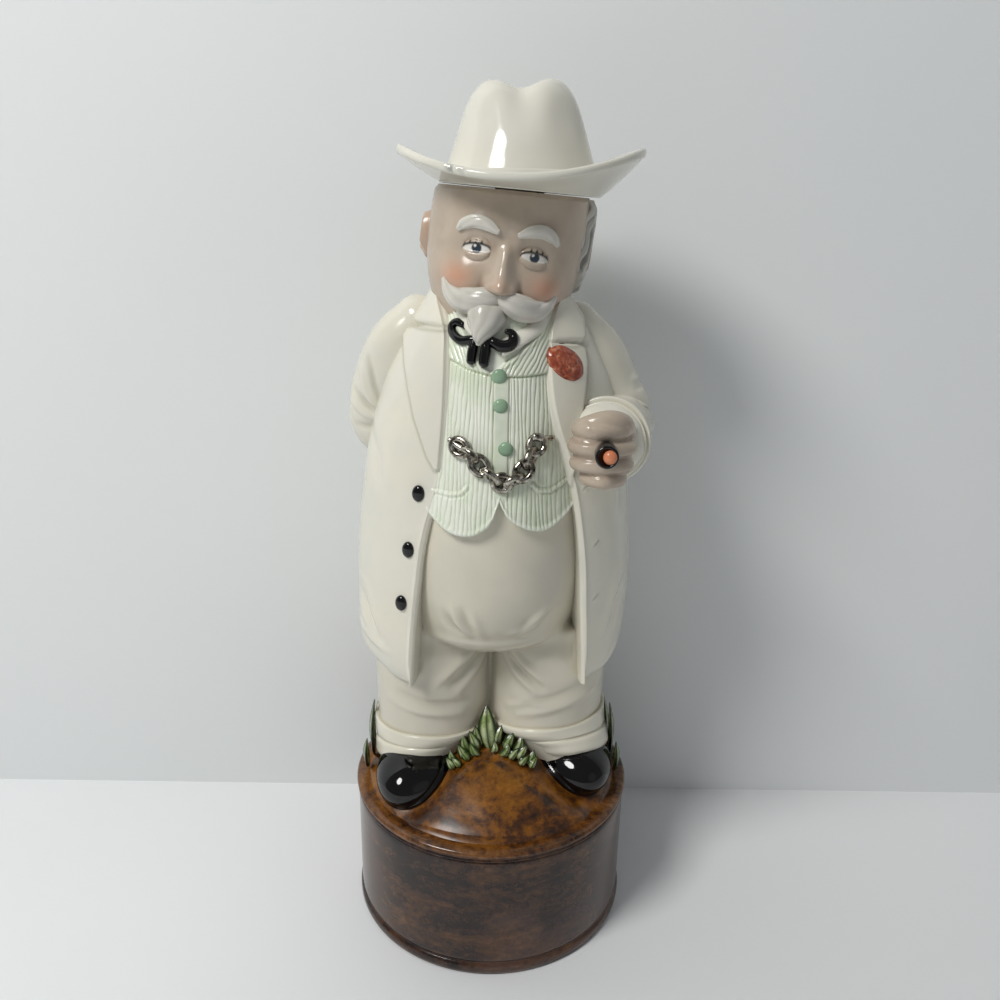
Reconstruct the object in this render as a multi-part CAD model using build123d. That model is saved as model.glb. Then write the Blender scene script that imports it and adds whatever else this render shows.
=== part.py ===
# Figural liquor decanter: a portly gentleman in a white frock coat stands on a round brown drum.
# The hat is the stopper, the figure is the bottle, and the drum holds a wind-up musical movement.
# Millimetres, +Z up, front towards -Y, +X to the viewer's right. The origin is the centre of the
# drum's foot, on the surface that the decanter stands on.
from build123d import *
from math import atan2, cos, degrees, hypot, pi, radians, sin, sqrt
import os

# Driving dimensions: drum
drum_radius = 56.0          # foot bead and top ledge
drum_height = 52.0          # seam between the drum and the ground casting
drum_wall_radius = 55.3
foot_bead_height = 4.4
foot_bead_round = 1.2
recess_radius = 51.0        # recess below the hardboard disc
chamber_radius = 49.4       # chamber above it
recess_height = 17.0        # shoulder that the disc seats against

# Ground casting
ledge_height = 4.5          # flat ledge round the mound
ledge_round = 1.6
ledge_groove = 0.8
spigot_height = 3.0
spigot_wall = 1.6
mound_radius = 50.5
mound_height = 21.5
mound_shift = 3.0           # the mound's middle lies in front of the drum's axis

# Clearances and walls
wall = 4.0                  # slip-cast wall
body_gap = 0.3              # between pieces that move apart
fit_gap = 0.1               # between pieces that are fitted together and stay
bearing_gap = 0.05          # between a shaft and its bearing
overrun = 3.0               # how far a cutting tool passes the surface that it cuts

# Coat, belly and waistcoat
hem_z = 112.0
neck_z = 256.0
figure_x = -2.0             # the figure's middle at the ground
figure_lean_share = 0.016   # it leans a little to the viewer's right as it rises
coat_half_width = 51.6
coat_half_depth = 39.0
belly_half_width = 37.0
belly_half_depth = 41.0
belly_bottom_z = 119.0
waistcoat_thickness = 2.0
lapel_thickness = 1.4
cavity_floor_z = 122.0
cavity_roof_z = 227.0
throat_radius = 9.0

# Legs and cuffs
leg_half_width = 22.0
leg_half_depth = 23.0
leg_spacing = 24.0          # leg axis to the figure's middle
leg_shift = 1.0             # the legs stand behind the figure's middle
leg_bottom_z = 54.0
leg_top_z = 134.0
cuff_height = 11.5
cuff_thickness = 1.5
cuff_slope = 21.0           # degrees, the cuffs rise over the shoes
left_cuff_z = 62.5
right_cuff_z = 67.0

# Head
head_x = 1.4
head_y = -3.5
head_z = 262.0
head_half_width = 26.8
head_half_depth = 26.0
head_half_height = 31.0
head_tilt = 8.5             # degrees, towards the viewer's right
ear_half_width = 4.6
ear_half_depth = 4.6
ear_half_height = 8.4
hair_thickness = 2.6
neck_bore_radius = 10.8
neck_bore_depth = 15.0
seat_x = 5.5
seat_z = 285.0              # where the hat sits on the head
seat_tilt = 4.4             # degrees, the cut across the head

# Hat
hat_ring_radius = 27.2
brim_half_width = 40.4
brim_half_length = 40.0
brim_front_height = 3.2     # upper edge of the brim in front, above the seat
brim_tip_height = 14.2      # upper edge of the brim's tips
brim_edge = 2.2             # thickness at the edge
brim_dish = 1.6             # hollow of the underside, outside the ring
crown_shift = 1.2
crown_foot = 3.0
crown_height = 35.6
crown_half_width = 26.8
crown_half_length = 27.5
crease_radius = 7.0
crease_depth = 3.6
hat_wall = 4.5
stub_radius = 8.4
stub_length = 17.0
drain_radius = 4.5
seal_length = 12.0
seal_rib = 0.42
seal_rib_count = 4

# Arms and hands
sleeve_radius = 13.2
cuff_lip = 1.8
cuff_ring_width = 4.5
fist_half_width = 10.4
fist_half_depth = 9.6
fist_half_height = 12.2
finger_radius = 3.2
cigar_radius = 3.8
cigar_length = 15.0
ember_radius = 2.4

# Shoes, buttons, tie, chain, flower and leaves
shoe_half_width = 16.8
shoe_half_length = 23.0
shoe_half_height = 13.5
coat_button_radius = 2.8
coat_button_half_thickness = 1.5
waistcoat_button_radius = 2.7
tie_cord_radius = 1.7
chain_link_half_width = 2.1
chain_wire_radius = 0.95
chain_link_count = 7
flower_half_width = 4.8
flower_half_depth = 3.0
flower_half_length = 7.4
leaf_thickness = 3.0
tuft_height = 17.0
side_leaf_height = 29.0

# Musical movement
board_thickness = 3.0
screw_radius = 1.5
screw_head_radius = 2.6
screw_head_height = 1.2
bedplate_length = 58.0
bedplate_width = 50.0
bedplate_thickness = 2.5
bedplate_corner = 3.0
bedplate_shift = 2.0        # the bedplate's middle lies right of the drum's axis
housing_radius = 11.0
housing_height = 13.0
housing_x = -14.0
housing_y = 6.0
arbor_radius = 1.6
arbor_grip = 3.0            # how far the arbor reaches into the spring housing
key_half_width = 11.0
key_height = 8.0
key_thickness = 2.2
key_hub_radius = 3.6
key_drop = 11.8             # the key's foot below the board's underside
cylinder_radius = 6.2
cylinder_length = 19.6
cylinder_start_x = 0.4
cylinder_y = 3.0
axle_radius = 1.0
gear_module = 0.4
gear_width = 1.6
cylinder_wheel_teeth = 40
pinion_teeth = 10
gear_backlash = 0.14        # added to the centre distance
end_play = 0.5              # between a turning piece and the post beside it
post_width = 1.4
post_depth = 6.0
tune_pin_radius = 0.25
tune_pin_height = 0.4
tune_pin_rows = 18
tune_pins_per_row = 3
comb_length = 15.0
comb_width = 18.8
comb_thickness = 0.9
comb_root_length = 5.5
comb_slot = 0.3
comb_reach_gap = 0.7        # from the tips of the comb to the cylinder
worm_wheel_teeth = 20
worm_wheel_width = 1.2
governor_arbor_radius = 0.8
fly_spindle_radius = 0.6
worm_radius = 1.3
fly_half_span = 3.6
fly_height = 4.6
fly_thickness = 0.5
governor_frame_thickness = 1.5
governor_frame_width = 8.0
stop_pin_radius = 1.5
stop_pin_collar_radius = 2.8
stop_pin_x = -14.0
stop_pin_y = -14.0
stop_pin_travel = 4.0

# Worked out from the sizes above
ground_z = drum_height + ledge_height
figure_height = neck_z - hem_z
far = drum_radius + drum_height     # longer than any piece, for tools that cut right through
crumb_volume = fit_gap ** 2 * wall  # a cut's leftovers are smaller than this


def middle(z):
    """The figure's middle at a height."""
    return figure_x + figure_lean_share * (z - ground_z), 0.0


# Shapes that repeat
def stations(shares, base_z, height, half_width, half_depth, centre):
    """A smooth solid through ellipses; each share is height, width and depth."""
    faces = []
    for up, wide, deep in shares:
        z = base_z + height * up
        x, y = centre(z)
        faces.append(Pos(x, y, z) * Ellipse(half_width * wide, half_depth * deep))
    return loft(faces)


def ellipsoid(half):
    """An egg shape whose poles point to the front and the back."""
    return scale(Rot(90, 30, 0) * Sphere(half[0]), by=(1, half[1] / half[0], half[2] / half[0]))


def toward(start, end):
    """Location at start whose Z points at end."""
    x, y, z = (b - a for a, b in zip(start, end))
    return Pos(*start) * Rot(0, 0, degrees(atan2(y, x))) * Rot(0, degrees(atan2(hypot(x, y), z)), 0)


def taper(start, end, start_radius, end_radius):
    """A round bar between two points."""
    length = sqrt(sum((b - a) ** 2 for a, b in zip(start, end)))
    align = (Align.CENTER, Align.CENTER, Align.MIN)
    if start_radius == end_radius:
        return toward(start, end) * Cylinder(start_radius, length, align=align)
    return toward(start, end) * Cone(start_radius, end_radius, length, align=align)


def limb(points, radii):
    """Tapered lengths with a ball at each point."""
    shape = Pos(*points[0]) * Sphere(radii[0])
    for i in range(len(points) - 1):
        shape += taper(points[i], points[i + 1], radii[i], radii[i + 1])
        shape += Pos(*points[i + 1]) * Sphere(radii[i + 1])
    return shape


def rod(radius, height, foot=(0.0, 0.0, 0.0)):
    """A round upright that stands on its foot."""
    return Pos(*foot) * Cylinder(radius, height, align=(Align.CENTER, Align.CENTER, Align.MIN))


def block(size, foot):
    """A box that stands centred on its foot."""
    return Pos(*foot) * Box(*size, align=(Align.CENTER, Align.CENTER, Align.MIN))


def turned(outline):
    """Revolves a closed outline of radius and height about Z."""
    return revolve(Plane.XZ * make_face(Polyline(*outline, close=True)), Axis.Z)


def front_prism(edges):
    """The space in front of the object inside a closed outline of edges, drawn in x and z."""
    return extrude(Plane.XZ * make_face(edges), amount=far)


def joined(shapes):
    total = shapes[0]
    for shape in shapes[1:]:
        total += shape
    return total


def trimmed(shape, others):
    for other in others:
        shape -= other
    return shape


def write(name, shapes):
    """Exports every solid of one piece, or of a set of like pieces, as one node."""
    solids = [s for shape in shapes for s in shape.solids() if s.volume > crumb_volume]
    export_step(solids[0] if len(solids) == 1 else Compound(children=solids), f"parts/{name}.step")
    print(name, len(solids), round(sum(s.volume for s in solids)), "mm3")


# Shares of height, width and depth for the lofted forms
coat_shares = [
    (0.00, 1.00, 0.93), (0.13, 1.01, 0.97), (0.26, 1.01, 1.00), (0.42, 0.98, 1.00), (0.57, 0.93, 0.97),
    (0.69, 0.86, 0.91), (0.80, 0.76, 0.82), (0.89, 0.62, 0.71), (0.95, 0.49, 0.60), (1.00, 0.40, 0.52),
]
belly_shares = [
    (0.00, 0.76, 0.58), (0.08, 0.89, 0.80), (0.17, 0.96, 0.94), (0.29, 1.00, 1.00), (0.44, 0.98, 0.99),
    (0.59, 0.91, 0.93), (0.74, 0.80, 0.84), (0.86, 0.66, 0.74), (0.94, 0.54, 0.64), (1.00, 0.46, 0.56),
]
leg_shares = {
    -1: [(0.00, 0.80, 0.96), (0.22, 0.84, 0.97), (0.45, 1.045, 1.00), (0.72, 1.07, 1.03), (1.00, 1.07, 1.05)],
    1: [(0.00, 0.66, 0.94), (0.22, 0.74, 0.96), (0.45, 1.045, 1.00), (0.72, 1.07, 1.03), (1.00, 1.07, 1.05)],
}
leg_spread_shares = {
    -1: [(0.00, 1.26), (0.22, 1.18), (0.45, 0.94), (0.72, 0.96), (1.00, 0.97)],
    1: [(0.00, 1.44), (0.22, 1.33), (0.45, 0.97), (0.72, 0.98), (1.00, 0.99)],
}
head_shares = [
    (-1.00, 0.18, 0.24), (-0.88, 0.48, 0.56), (-0.66, 0.72, 0.80), (-0.38, 0.88, 0.94),
    (-0.05, 0.98, 1.00), (0.30, 1.01, 1.00), (0.62, 1.00, 0.98), (0.92, 0.95, 0.93),
]
crown_shares = [
    (0.00, 1.00, 1.00), (0.16, 0.97, 0.97), (0.35, 0.89, 0.91), (0.60, 0.77, 0.82), (0.80, 0.67, 0.74),
    (0.93, 0.57, 0.65), (1.00, 0.40, 0.50),
]
# Outlines on the front: x as a share of the belly's half width, z as a share of the figure's height
opening_shares = [
    (-0.82, -0.10), (-0.71, 0.257), (-0.60, 0.472), (-0.52, 0.611), (-0.50, 0.896), (-0.30, 1.05),
    (0.34, 1.05), (0.47, 0.86), (0.60, 0.743), (0.69, 0.583), (0.74, 0.479), (0.83, 0.264), (0.97, -0.10),
]
lapel_shares = [
    (-0.28, 1.05), (-0.62, 1.02), (-0.82, 0.955), (-0.87, 0.90), (-0.66, 0.885), (-0.97, 0.862),
    (-0.90, 0.80), (-0.60, 0.585), (-0.50, 0.60), (-0.49, 0.90),
]
lapel_mirror_share = 0.05   # the right lapel is the left one mirrored about half of this share
left_point_shares = [(-0.63, 0.49), (-0.50, 0.449), (-0.25, 0.441), (-0.07, 0.462), (0.03, 0.50)]
right_point_shares = [(0.03, 0.50), (0.16, 0.452), (0.45, 0.425), (0.63, 0.446), (0.77, 0.49)]
waistcoat_top_share = 0.945


def on_front(shares):
    """Outline shares to points of x and z."""
    points = []
    for x, up in shares:
        z = hem_z + figure_height * up
        points.append((middle(z)[0] + belly_half_width * x, z))
    return points


def front_outline(shares):
    return front_prism(Polyline(*on_front(shares), close=True))


def coat_loft(grow):
    return stations(coat_shares, hem_z, figure_height, coat_half_width + grow, coat_half_depth + grow, middle)


def belly_loft(grow):
    return stations(belly_shares, belly_bottom_z, neck_z - belly_bottom_z,
                    belly_half_width + grow, belly_half_depth + grow, middle)


def belly_front(grow):
    """The belly, cut off where the coat's back takes over."""
    return belly_loft(grow) & block((far * 2, far, far * 3), (0, wall - far / 2, 0))


def front_y(shares, base_z, half_width, half_depth, x, z):
    """Depth of a loft's front surface at a place, between its stations."""
    up = (z - base_z) / (neck_z - base_z)
    for low, high in zip(shares, shares[1:]):
        if low[0] <= up <= high[0]:
            mix = (up - low[0]) / (high[0] - low[0])
            wide = half_width * (low[1] + mix * (high[1] - low[1]))
            deep = half_depth * (low[2] + mix * (high[2] - low[2]))
            return -deep * sqrt(max(0.0, 1 - ((x - middle(z)[0]) / wide) ** 2))
    return 0.0


def coat_y(x, z):
    return front_y(coat_shares, hem_z, coat_half_width, coat_half_depth, x, z)


def belly_y(x, z):
    return front_y(belly_shares, belly_bottom_z, belly_half_width, belly_half_depth, x, z)


# Drum and ground
def make_drum():
    bead_top = foot_bead_height + foot_bead_round / 2
    drum = turned([
        (recess_radius, 0.0), (drum_radius, 0.0), (drum_radius, foot_bead_height),
        (drum_wall_radius, bead_top), (drum_wall_radius, drum_height), (chamber_radius, drum_height),
        (chamber_radius, recess_height), (recess_radius, recess_height),
    ])
    bead = [e for e in drum.edges().filter_by(GeomType.CIRCLE) if abs(e.radius - drum_radius) < fit_gap]
    return fillet(bead, foot_bead_round)


def mound_ball(grow):
    """The ball whose top cap is the mound."""
    radius = (mound_radius ** 2 + mound_height ** 2) / (2 * mound_height)
    return Pos(0, -mound_shift, ground_z + mound_height - radius) * Sphere(radius + grow)


def make_ground():
    ledge = rod(drum_radius, ledge_height, (0, 0, drum_height))
    ledge = fillet(ledge.edges().filter_by(GeomType.CIRCLE).sort_by(Axis.Z)[-1], ledge_round)
    ledge = chamfer(ledge.edges().filter_by(GeomType.CIRCLE).sort_by(Axis.Z)[0], ledge_groove)
    mound = mound_ball(0) & rod(mound_radius, mound_height + overrun, (0, 0, ground_z - ledge_groove))
    spigot = rod(chamber_radius - fit_gap, spigot_height, (0, 0, drum_height - spigot_height))
    below = drum_height - spigot_height - overrun
    hollow = mound_ball(-wall) & rod(chamber_radius - spigot_wall, far, (0, 0, below))
    return ledge + mound + spigot - hollow


def ground_block():
    """Everything at or below the ground's surface, to trim what stands on it."""
    return mound_ball(0) + rod(drum_radius + overrun, ground_z)


# Figure
def leg_middle(side):
    def centre(z):
        up = (z - leg_bottom_z) / (leg_top_z - leg_bottom_z)
        table = leg_spread_shares[side]
        spread = table[-1][1]
        for low, high in zip(table, table[1:]):
            if low[0] <= up <= high[0]:
                spread = low[1] + (up - low[0]) / (high[0] - low[0]) * (high[1] - low[1])
        return middle(z)[0] + side * leg_spacing * spread, leg_shift
    return centre


def leg_loft(side, grow):
    return stations(leg_shares[side], leg_bottom_z, leg_top_z - leg_bottom_z,
                    leg_half_width + grow, leg_half_depth + grow, leg_middle(side))


def cuff_place(side):
    z = left_cuff_z if side < 0 else right_cuff_z
    x, y = leg_middle(side)(z)
    return Pos(x, y, z) * Rot(-cuff_slope, 0, 0)


def make_leg(side):
    below = cuff_place(side) * block((far, far, far), (0, 0, -far))
    wide = leg_half_width * leg_shares[side][1][1] + cuff_thickness
    deep = leg_half_depth / cos(radians(cuff_slope)) + cuff_thickness
    cuff = cuff_place(side) * extrude(Ellipse(wide, deep), cuff_height)
    return leg_loft(side, 0) - below + cuff


def make_torso():
    """The open coat, the belly in its opening and the two lapels, each still solid."""
    coat = coat_loft(0) - front_outline(opening_shares)
    collar = coat_loft(lapel_thickness)
    right_shares = [(lapel_mirror_share - x, z) for x, z in lapel_shares]
    lapels = [collar & front_outline(shares) for shares in (lapel_shares, right_shares)]
    return [coat, belly_front(0), *lapels]


def liquor_space():
    """The hollow that holds the liquor, with the throat above it."""
    inset_share = wall / belly_half_width
    widened = [(x + (inset_share if x > 0 else -inset_share), z) for x, z in opening_shares]
    room = block((far * 2, far * 2, cavity_roof_z - cavity_floor_z), (0, 0, cavity_floor_z))
    space = (coat_loft(-wall) - front_outline(widened) + belly_front(-wall)) & room
    leg_foot = ground_z + mound_height + wall / 2
    leg_room = block((far * 2, far * 2, cavity_floor_z + overrun - leg_foot), (0, 0, leg_foot))
    legs = [leg_loft(side, -wall) & leg_room for side in (-1, 1)]
    throat = rod(throat_radius, head_z - cavity_roof_z + overrun, (head_x, head_y, cavity_roof_z - overrun))
    return joined([space, *legs, throat])


# Head and face
HEAD = Pos(head_x, head_y, head_z) * Rot(0, head_tilt, 0)
SEAT = Pos(seat_x, head_y, seat_z) * Rot(0, seat_tilt, 0)


def head_loft(grow):
    return HEAD * stations(head_shares, 0, head_half_height, head_half_width + grow,
                           head_half_depth + grow, lambda z: (0.0, 0.0))


def above_seat():
    return SEAT * block((far, far, far), (0, 0, 0))


def on_face(x_share, z_share, inset=0.0):
    """A place on the front of the head, by shares of its half width and half height."""
    deep = head_half_depth * sqrt(1 - x_share ** 2 - min(0.0, z_share) ** 2 * 0.6)
    return HEAD * Pos(x_share * head_half_width, inset - deep, z_share * head_half_height)


def make_head():
    reach = head_half_width - ear_half_width * 0.1
    ears = [HEAD * Pos(side * reach, ear_half_depth, ear_half_height * 0.6)
            * ellipsoid((ear_half_width, ear_half_depth, ear_half_height)) for side in (-1, 1)]
    nose_half = (head_half_width / 7, head_half_width / 5.5, head_half_height / 6.5)
    nose = on_face(0, -0.10, nose_half[1] / 3) * ellipsoid(nose_half)
    head = joined([head_loft(0), nose, *ears]) - above_seat()
    chin_floor = HEAD * block((far, far, far), (0, 0, -far - head_half_height * 0.66))
    neck = SEAT * block((far, far, neck_bore_depth), (0, 0, -neck_bore_depth))
    bore = SEAT * rod(neck_bore_radius, neck_bore_depth + 2 * overrun, (0, 0, -neck_bore_depth - overrun))
    throat = rod(throat_radius, head_half_height, (head_x, head_y, head_z - head_half_height * 1.3))
    return head - (head_loft(-wall) - neck - chin_floor) - bore - throat


def make_hair(head, torso):
    align = (Align.CENTER, Align.MAX, Align.CENTER)
    front = HEAD * Pos(0, -ear_half_depth * 1.4, 0) * Box(far, far, far, align=align)
    low = HEAD * block((far, far, far), (0, 0, -far - head_half_height * 0.3))
    return trimmed(head_loft(hair_thickness), [head_loft(0), front, low, above_seat(), head, *torso])


def make_moustache(head):
    half = (head_half_width / 3.2, head_half_width / 7.5, head_half_width / 8.5)
    lobes = [on_face(side * 0.24, -0.34) * Rot(0, side * 16, 0) * ellipsoid(half) for side in (-1, 1)]
    return joined(lobes) - head


def make_goatee(head, torso):
    start = tuple(on_face(0.0, -0.62).position)
    tip_place = Pos(-head_half_width * 0.13, -head_half_depth * 1.16, -head_half_height * 0.72)
    tip = tuple((HEAD * tip_place).position)
    beard = limb([start, tip], [head_half_width / 5.4, head_half_width / 10])
    return trimmed(beard, [head, *torso])


def make_brows(head):
    half = (head_half_width / 4.8, head_half_width / 12, head_half_width / 13)
    return [on_face(side * 0.36, 0.40) * Rot(0, side * 8, side * 20) * ellipsoid(half) - head
            for side in (-1, 1)]


# Hat and its seal
def make_brim():
    """A saddle: flat underneath at the ring, with both sides curled up."""
    tilt_rise = hat_ring_radius * sin(radians(seat_tilt))
    shoulder = brim_half_width * 0.62
    top = Spline([
        (-brim_half_width, brim_tip_height), (-shoulder, brim_front_height * 1.9), (0.0, brim_front_height),
        (shoulder, brim_front_height * 1.8), (brim_half_width, brim_tip_height),
    ])
    under = Polyline(
        (brim_half_width, brim_tip_height), (brim_half_width, brim_tip_height - brim_edge),
        (hat_ring_radius, -tilt_rise), (-hat_ring_radius, tilt_rise),
        (-brim_half_width, brim_tip_height - brim_edge), (-brim_half_width, brim_tip_height),
    )
    slab = Pos(crown_shift, 0, 0) * extrude(Plane.XZ * make_face([top, under]), amount=brim_half_length, both=True)
    plan = Ellipse(brim_half_width, brim_half_length)
    slab &= Pos(crown_shift, 0, -crown_height) * extrude(plan, crown_height * 2)
    outer = brim_half_length + overrun
    dish = Cone(hat_ring_radius, outer, brim_dish, align=(Align.CENTER, Align.CENTER, Align.MIN))
    return slab - Rot(0, seat_tilt, 0) * (rod(outer, brim_dish) - dish)


def make_crown(shrink, foot, top):
    return stations(crown_shares, foot, top - foot, crown_half_width - shrink, crown_half_length - shrink,
                    lambda z: (crown_shift, 0.0))


def make_hat():
    tilt = Rot(0, seat_tilt, 0)
    crease_z = crown_height + crease_radius - crease_depth
    crease = Pos(0, 0, crease_z) * Rot(90, 0, 0) * Cylinder(crease_radius, crown_half_length * 3)
    floor = crown_foot + brim_edge
    hollow = make_crown(hat_wall, floor, crown_height - crease_depth - hat_wall)
    stub = tilt * rod(stub_radius, stub_length + floor, (0, 0, -stub_length))
    drain = tilt * rod(drain_radius, stub_length + overrun + floor * 2, (0, 0, -stub_length - overrun))
    shell = make_brim() + (make_crown(0, crown_foot - brim_edge, crown_height) - crease) - hollow
    hat = shell - tilt * block((far, far, far), (0, 0, -far)) + stub - drain
    lift = Pos(body_gap * sin(radians(seat_tilt)), 0, body_gap * cos(radians(seat_tilt)))
    return Pos(seat_x, head_y, seat_z) * lift * hat


def make_seal():
    outer = neck_bore_radius - seal_rib - bearing_gap
    base = overrun / 2 - stub_length
    pitch = seal_length / seal_rib_count
    ribs = [rod(outer + seal_rib, pitch / 2.5, (0, 0, base + pitch * (i + 0.3))) for i in range(seal_rib_count)]
    seal = joined([rod(outer, seal_length, (0, 0, base)), *ribs])
    seal -= rod(stub_radius, seal_length + overrun * 2, (0, 0, base - overrun))
    return SEAT * Pos(0, 0, body_gap) * seal


# Arms: places as shares of the coat's half width and half depth and of the figure's height
front_arm_shares = [(0.53, 0.05, 0.825), (0.86, 0.10, 0.645), (0.735, -0.70, 0.65)]
rear_arm_shares = [(-0.69, 0.06, 0.825), (-0.845, 0.30, 0.63), (-0.36, 0.92, 0.53)]
front_arm_radius_shares = [0.95, 1.03, 1.12]
rear_arm_radius_shares = [0.99, 1.0, 0.84]


def arm_points(shares):
    points = []
    for x, y, up in shares:
        z = hem_z + figure_height * up
        points.append((middle(z)[0] + coat_half_width * x, coat_half_depth * y, z))
    return points


def wrist_place(shares):
    """A place at the wrist whose Z runs out of the sleeve."""
    elbow, wrist = arm_points(shares)[1:]
    return toward(wrist, tuple(2 * w - e for w, e in zip(wrist, elbow)))


def make_sleeve(shares, radius_shares, torso):
    points = arm_points(shares)
    radii = [sleeve_radius * share for share in radius_shares]
    sleeve = limb(points[:2], radii[:2]) + taper(points[1], points[2], radii[1], radii[2])
    lip = wrist_place(shares) * rod(radii[2] + cuff_lip, cuff_ring_width, (0, 0, -cuff_ring_width))
    return trimmed(sleeve + lip, torso)


def make_fist(shares, reach_share, sleeve, torso):
    """A closed hand; the four fingers lie across it, one above the other."""
    reach = fist_half_depth * reach_share
    centre = tuple((wrist_place(shares) * Pos(0, 0, reach)).position)
    side = 1 if centre[1] < 0 else -1
    hand = Pos(*centre) * ellipsoid((fist_half_width, fist_half_depth, fist_half_height))
    pitch = fist_half_height / 2.5
    for i in range(4):
        z = centre[2] + (1.5 - i) * pitch
        wide = fist_half_width * (0.86 if i in (0, 3) else 1.0)
        knuckle = (centre[0] - wide * 0.80, centre[1] - side * fist_half_depth * 0.45, z)
        tip = (centre[0] + wide * 0.45, centre[1] - side * fist_half_depth * 0.72, z)
        hand += limb([knuckle, tip], [finger_radius, finger_radius])
    hand += wrist_place(shares) * rod(fist_half_width * 0.85, reach + cuff_ring_width, (0, 0, -cuff_ring_width))
    return trimmed(hand, [sleeve, *torso]), centre


def make_cigar(centre):
    end_y = centre[1] - fist_half_depth - cigar_length * 0.28
    z = centre[2] + finger_radius * 0.9
    body = taper((centre[0], end_y, z), (centre[0], end_y + cigar_length, z), cigar_radius, cigar_radius)
    ember = Pos(centre[0] + ember_radius / 3, end_y + ember_radius / 3, z) * Sphere(ember_radius)
    return body - ember, ember


# Shoes: middle as shares of the leg spacing and shoe length, turn in degrees, rise as a share of height
shoe_shares = [(-1.20, -0.42, -6.0, 0.46), (1.46, -0.04, 20.0, 0.62)]


def make_shoe(index, ground, legs):
    x_share, y_share, turn, rise = shoe_shares[index]
    place = Pos(figure_x + leg_spacing * x_share, shoe_half_length * y_share, ground_z + shoe_half_height * rise)
    shoe = place * Rot(0, 0, turn) * ellipsoid((shoe_half_width, shoe_half_length, shoe_half_height))
    return trimmed(shoe, [ground, *legs])


# Applied trim
def make_waistcoat(head, torso):
    left = Spline(on_front(left_point_shares))
    right = Spline(on_front(right_point_shares))
    rest_shares = [right_point_shares[-1], (right_point_shares[-1][0], waistcoat_top_share),
                   (left_point_shares[0][0], waistcoat_top_share), left_point_shares[0]]
    panel = belly_loft(waistcoat_thickness) & front_prism([left, right, Polyline(*on_front(rest_shares))])
    return trimmed(panel, [head, *torso])


def make_coat_buttons(torso):
    buttons = []
    for x, z in on_front([(-0.705, 0.517), (-0.80, 0.378), (-0.87, 0.222)]):
        turn = degrees(atan2(x - middle(z)[0], coat_half_width))
        half = (coat_button_radius, coat_button_half_thickness, coat_button_radius * 1.2)
        buttons.append(trimmed(Pos(x, coat_y(x, z), z) * Rot(0, 0, turn) * ellipsoid(half), torso))
    return buttons


def make_waistcoat_buttons(waistcoat):
    buttons = []
    for x, z in on_front([(0.0, 0.796), (0.01, 0.734), (0.07, 0.645)]):
        place = Pos(x, belly_y(x, z) - waistcoat_thickness, z)
        half = (waistcoat_button_radius, waistcoat_button_radius * 0.6, waistcoat_button_radius)
        buttons.append(place * ellipsoid(half) - waistcoat)
    return buttons


loop_shares = [(0.45, -0.10), (0.76, -0.22), (1.10, 0.06), (1.04, 0.42), (0.78, 0.46)]
tail_shares = [(0.22, -0.32), (0.28, -0.84)]


def waistcoat_y(x, z):
    return front_y(belly_shares, belly_bottom_z, belly_half_width + waistcoat_thickness,
                   belly_half_depth + waistcoat_thickness, x, z)


def facing_out(x, z):
    """The direction that the waistcoat faces at a place."""
    step = chain_link_half_width
    across = (waistcoat_y(x + step, z) - waistcoat_y(x - step, z)) / (2 * step)
    up = (waistcoat_y(x, z + step) - waistcoat_y(x, z - step)) / (2 * step)
    return across, -1, up


def on_waistcoat(x, z, out):
    """A point that far off the waistcoat, with a small gap more."""
    across, ahead, up = facing_out(x, z)
    reach = (out + body_gap * 2) / hypot(across, ahead, up)
    return x + across * reach, waistcoat_y(x, z) + ahead * reach, z + up * reach


def make_tie():
    """Two curled loops and two tails of round cord, which start under the beard."""
    (x, z), = on_front([(-0.14, 0.872)])
    reach = belly_half_width * 0.25
    cords = []
    for side in (-1, 1):
        for shares in (loop_shares, tail_shares):
            points = [on_waistcoat(x + side * reach * out, z + reach * up, tie_cord_radius) for out, up in shares]
            path = Spline(*points)
            cords.append(sweep(Plane(origin=path @ 0, z_dir=path % 0) * Circle(tie_cord_radius), path=path))
    return cords


chain_end_shares = [(-0.375, 0.633), (0.50, 0.653)]
chain_sag_share = 0.088


def chain_place(t):
    """The chain's line at a share of its span."""
    (ax, az), (bx, bz) = on_front(chain_end_shares)
    x = ax + (bx - ax) * t
    z = az + (bz - az) * t - figure_height * chain_sag_share * (1 - (2 * t - 1) ** 2)
    return on_waistcoat(x, z, 0.0)


def make_chain():
    """Flat links in relief, end to end."""
    links = []
    for i in range(chain_link_count):
        start = chain_place(i / chain_link_count)
        end = chain_place((i + 1) / chain_link_count)
        length = sqrt(sum((b - a) ** 2 for a, b in zip(start, end))) - fit_gap
        ring = SlotOverall(length, chain_link_half_width * 2)
        ring -= SlotOverall(length - chain_wire_radius * 2, (chain_link_half_width - chain_wire_radius) * 2)
        centre = [(a + b) / 2 for a, b in zip(start, end)]
        along = tuple(b - a for a, b in zip(start, end))
        place = Plane(origin=centre, x_dir=along, z_dir=facing_out(centre[0], centre[2]))
        links.append(place * extrude(ring, chain_wire_radius * 2))
    return links


def make_flower(torso):
    """A bloom of petals round an oval heart, on the right lapel."""
    (x, z), = on_front([(0.61, 0.828)])
    place = Pos(x, coat_y(x, z) - lapel_thickness, z) * Rot(0, 0, 30) * Rot(0, -38, 0)
    flower = place * ellipsoid((flower_half_width, flower_half_depth, flower_half_length))
    petal = flower_half_width * 0.42
    for i in range(8):
        a = i * pi / 4
        spot = Pos(flower_half_width * 0.72 * cos(a), -flower_half_depth * 0.35, flower_half_length * 0.76 * sin(a))
        flower += place * spot * Sphere(petal)
    return trimmed(flower, torso)


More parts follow.
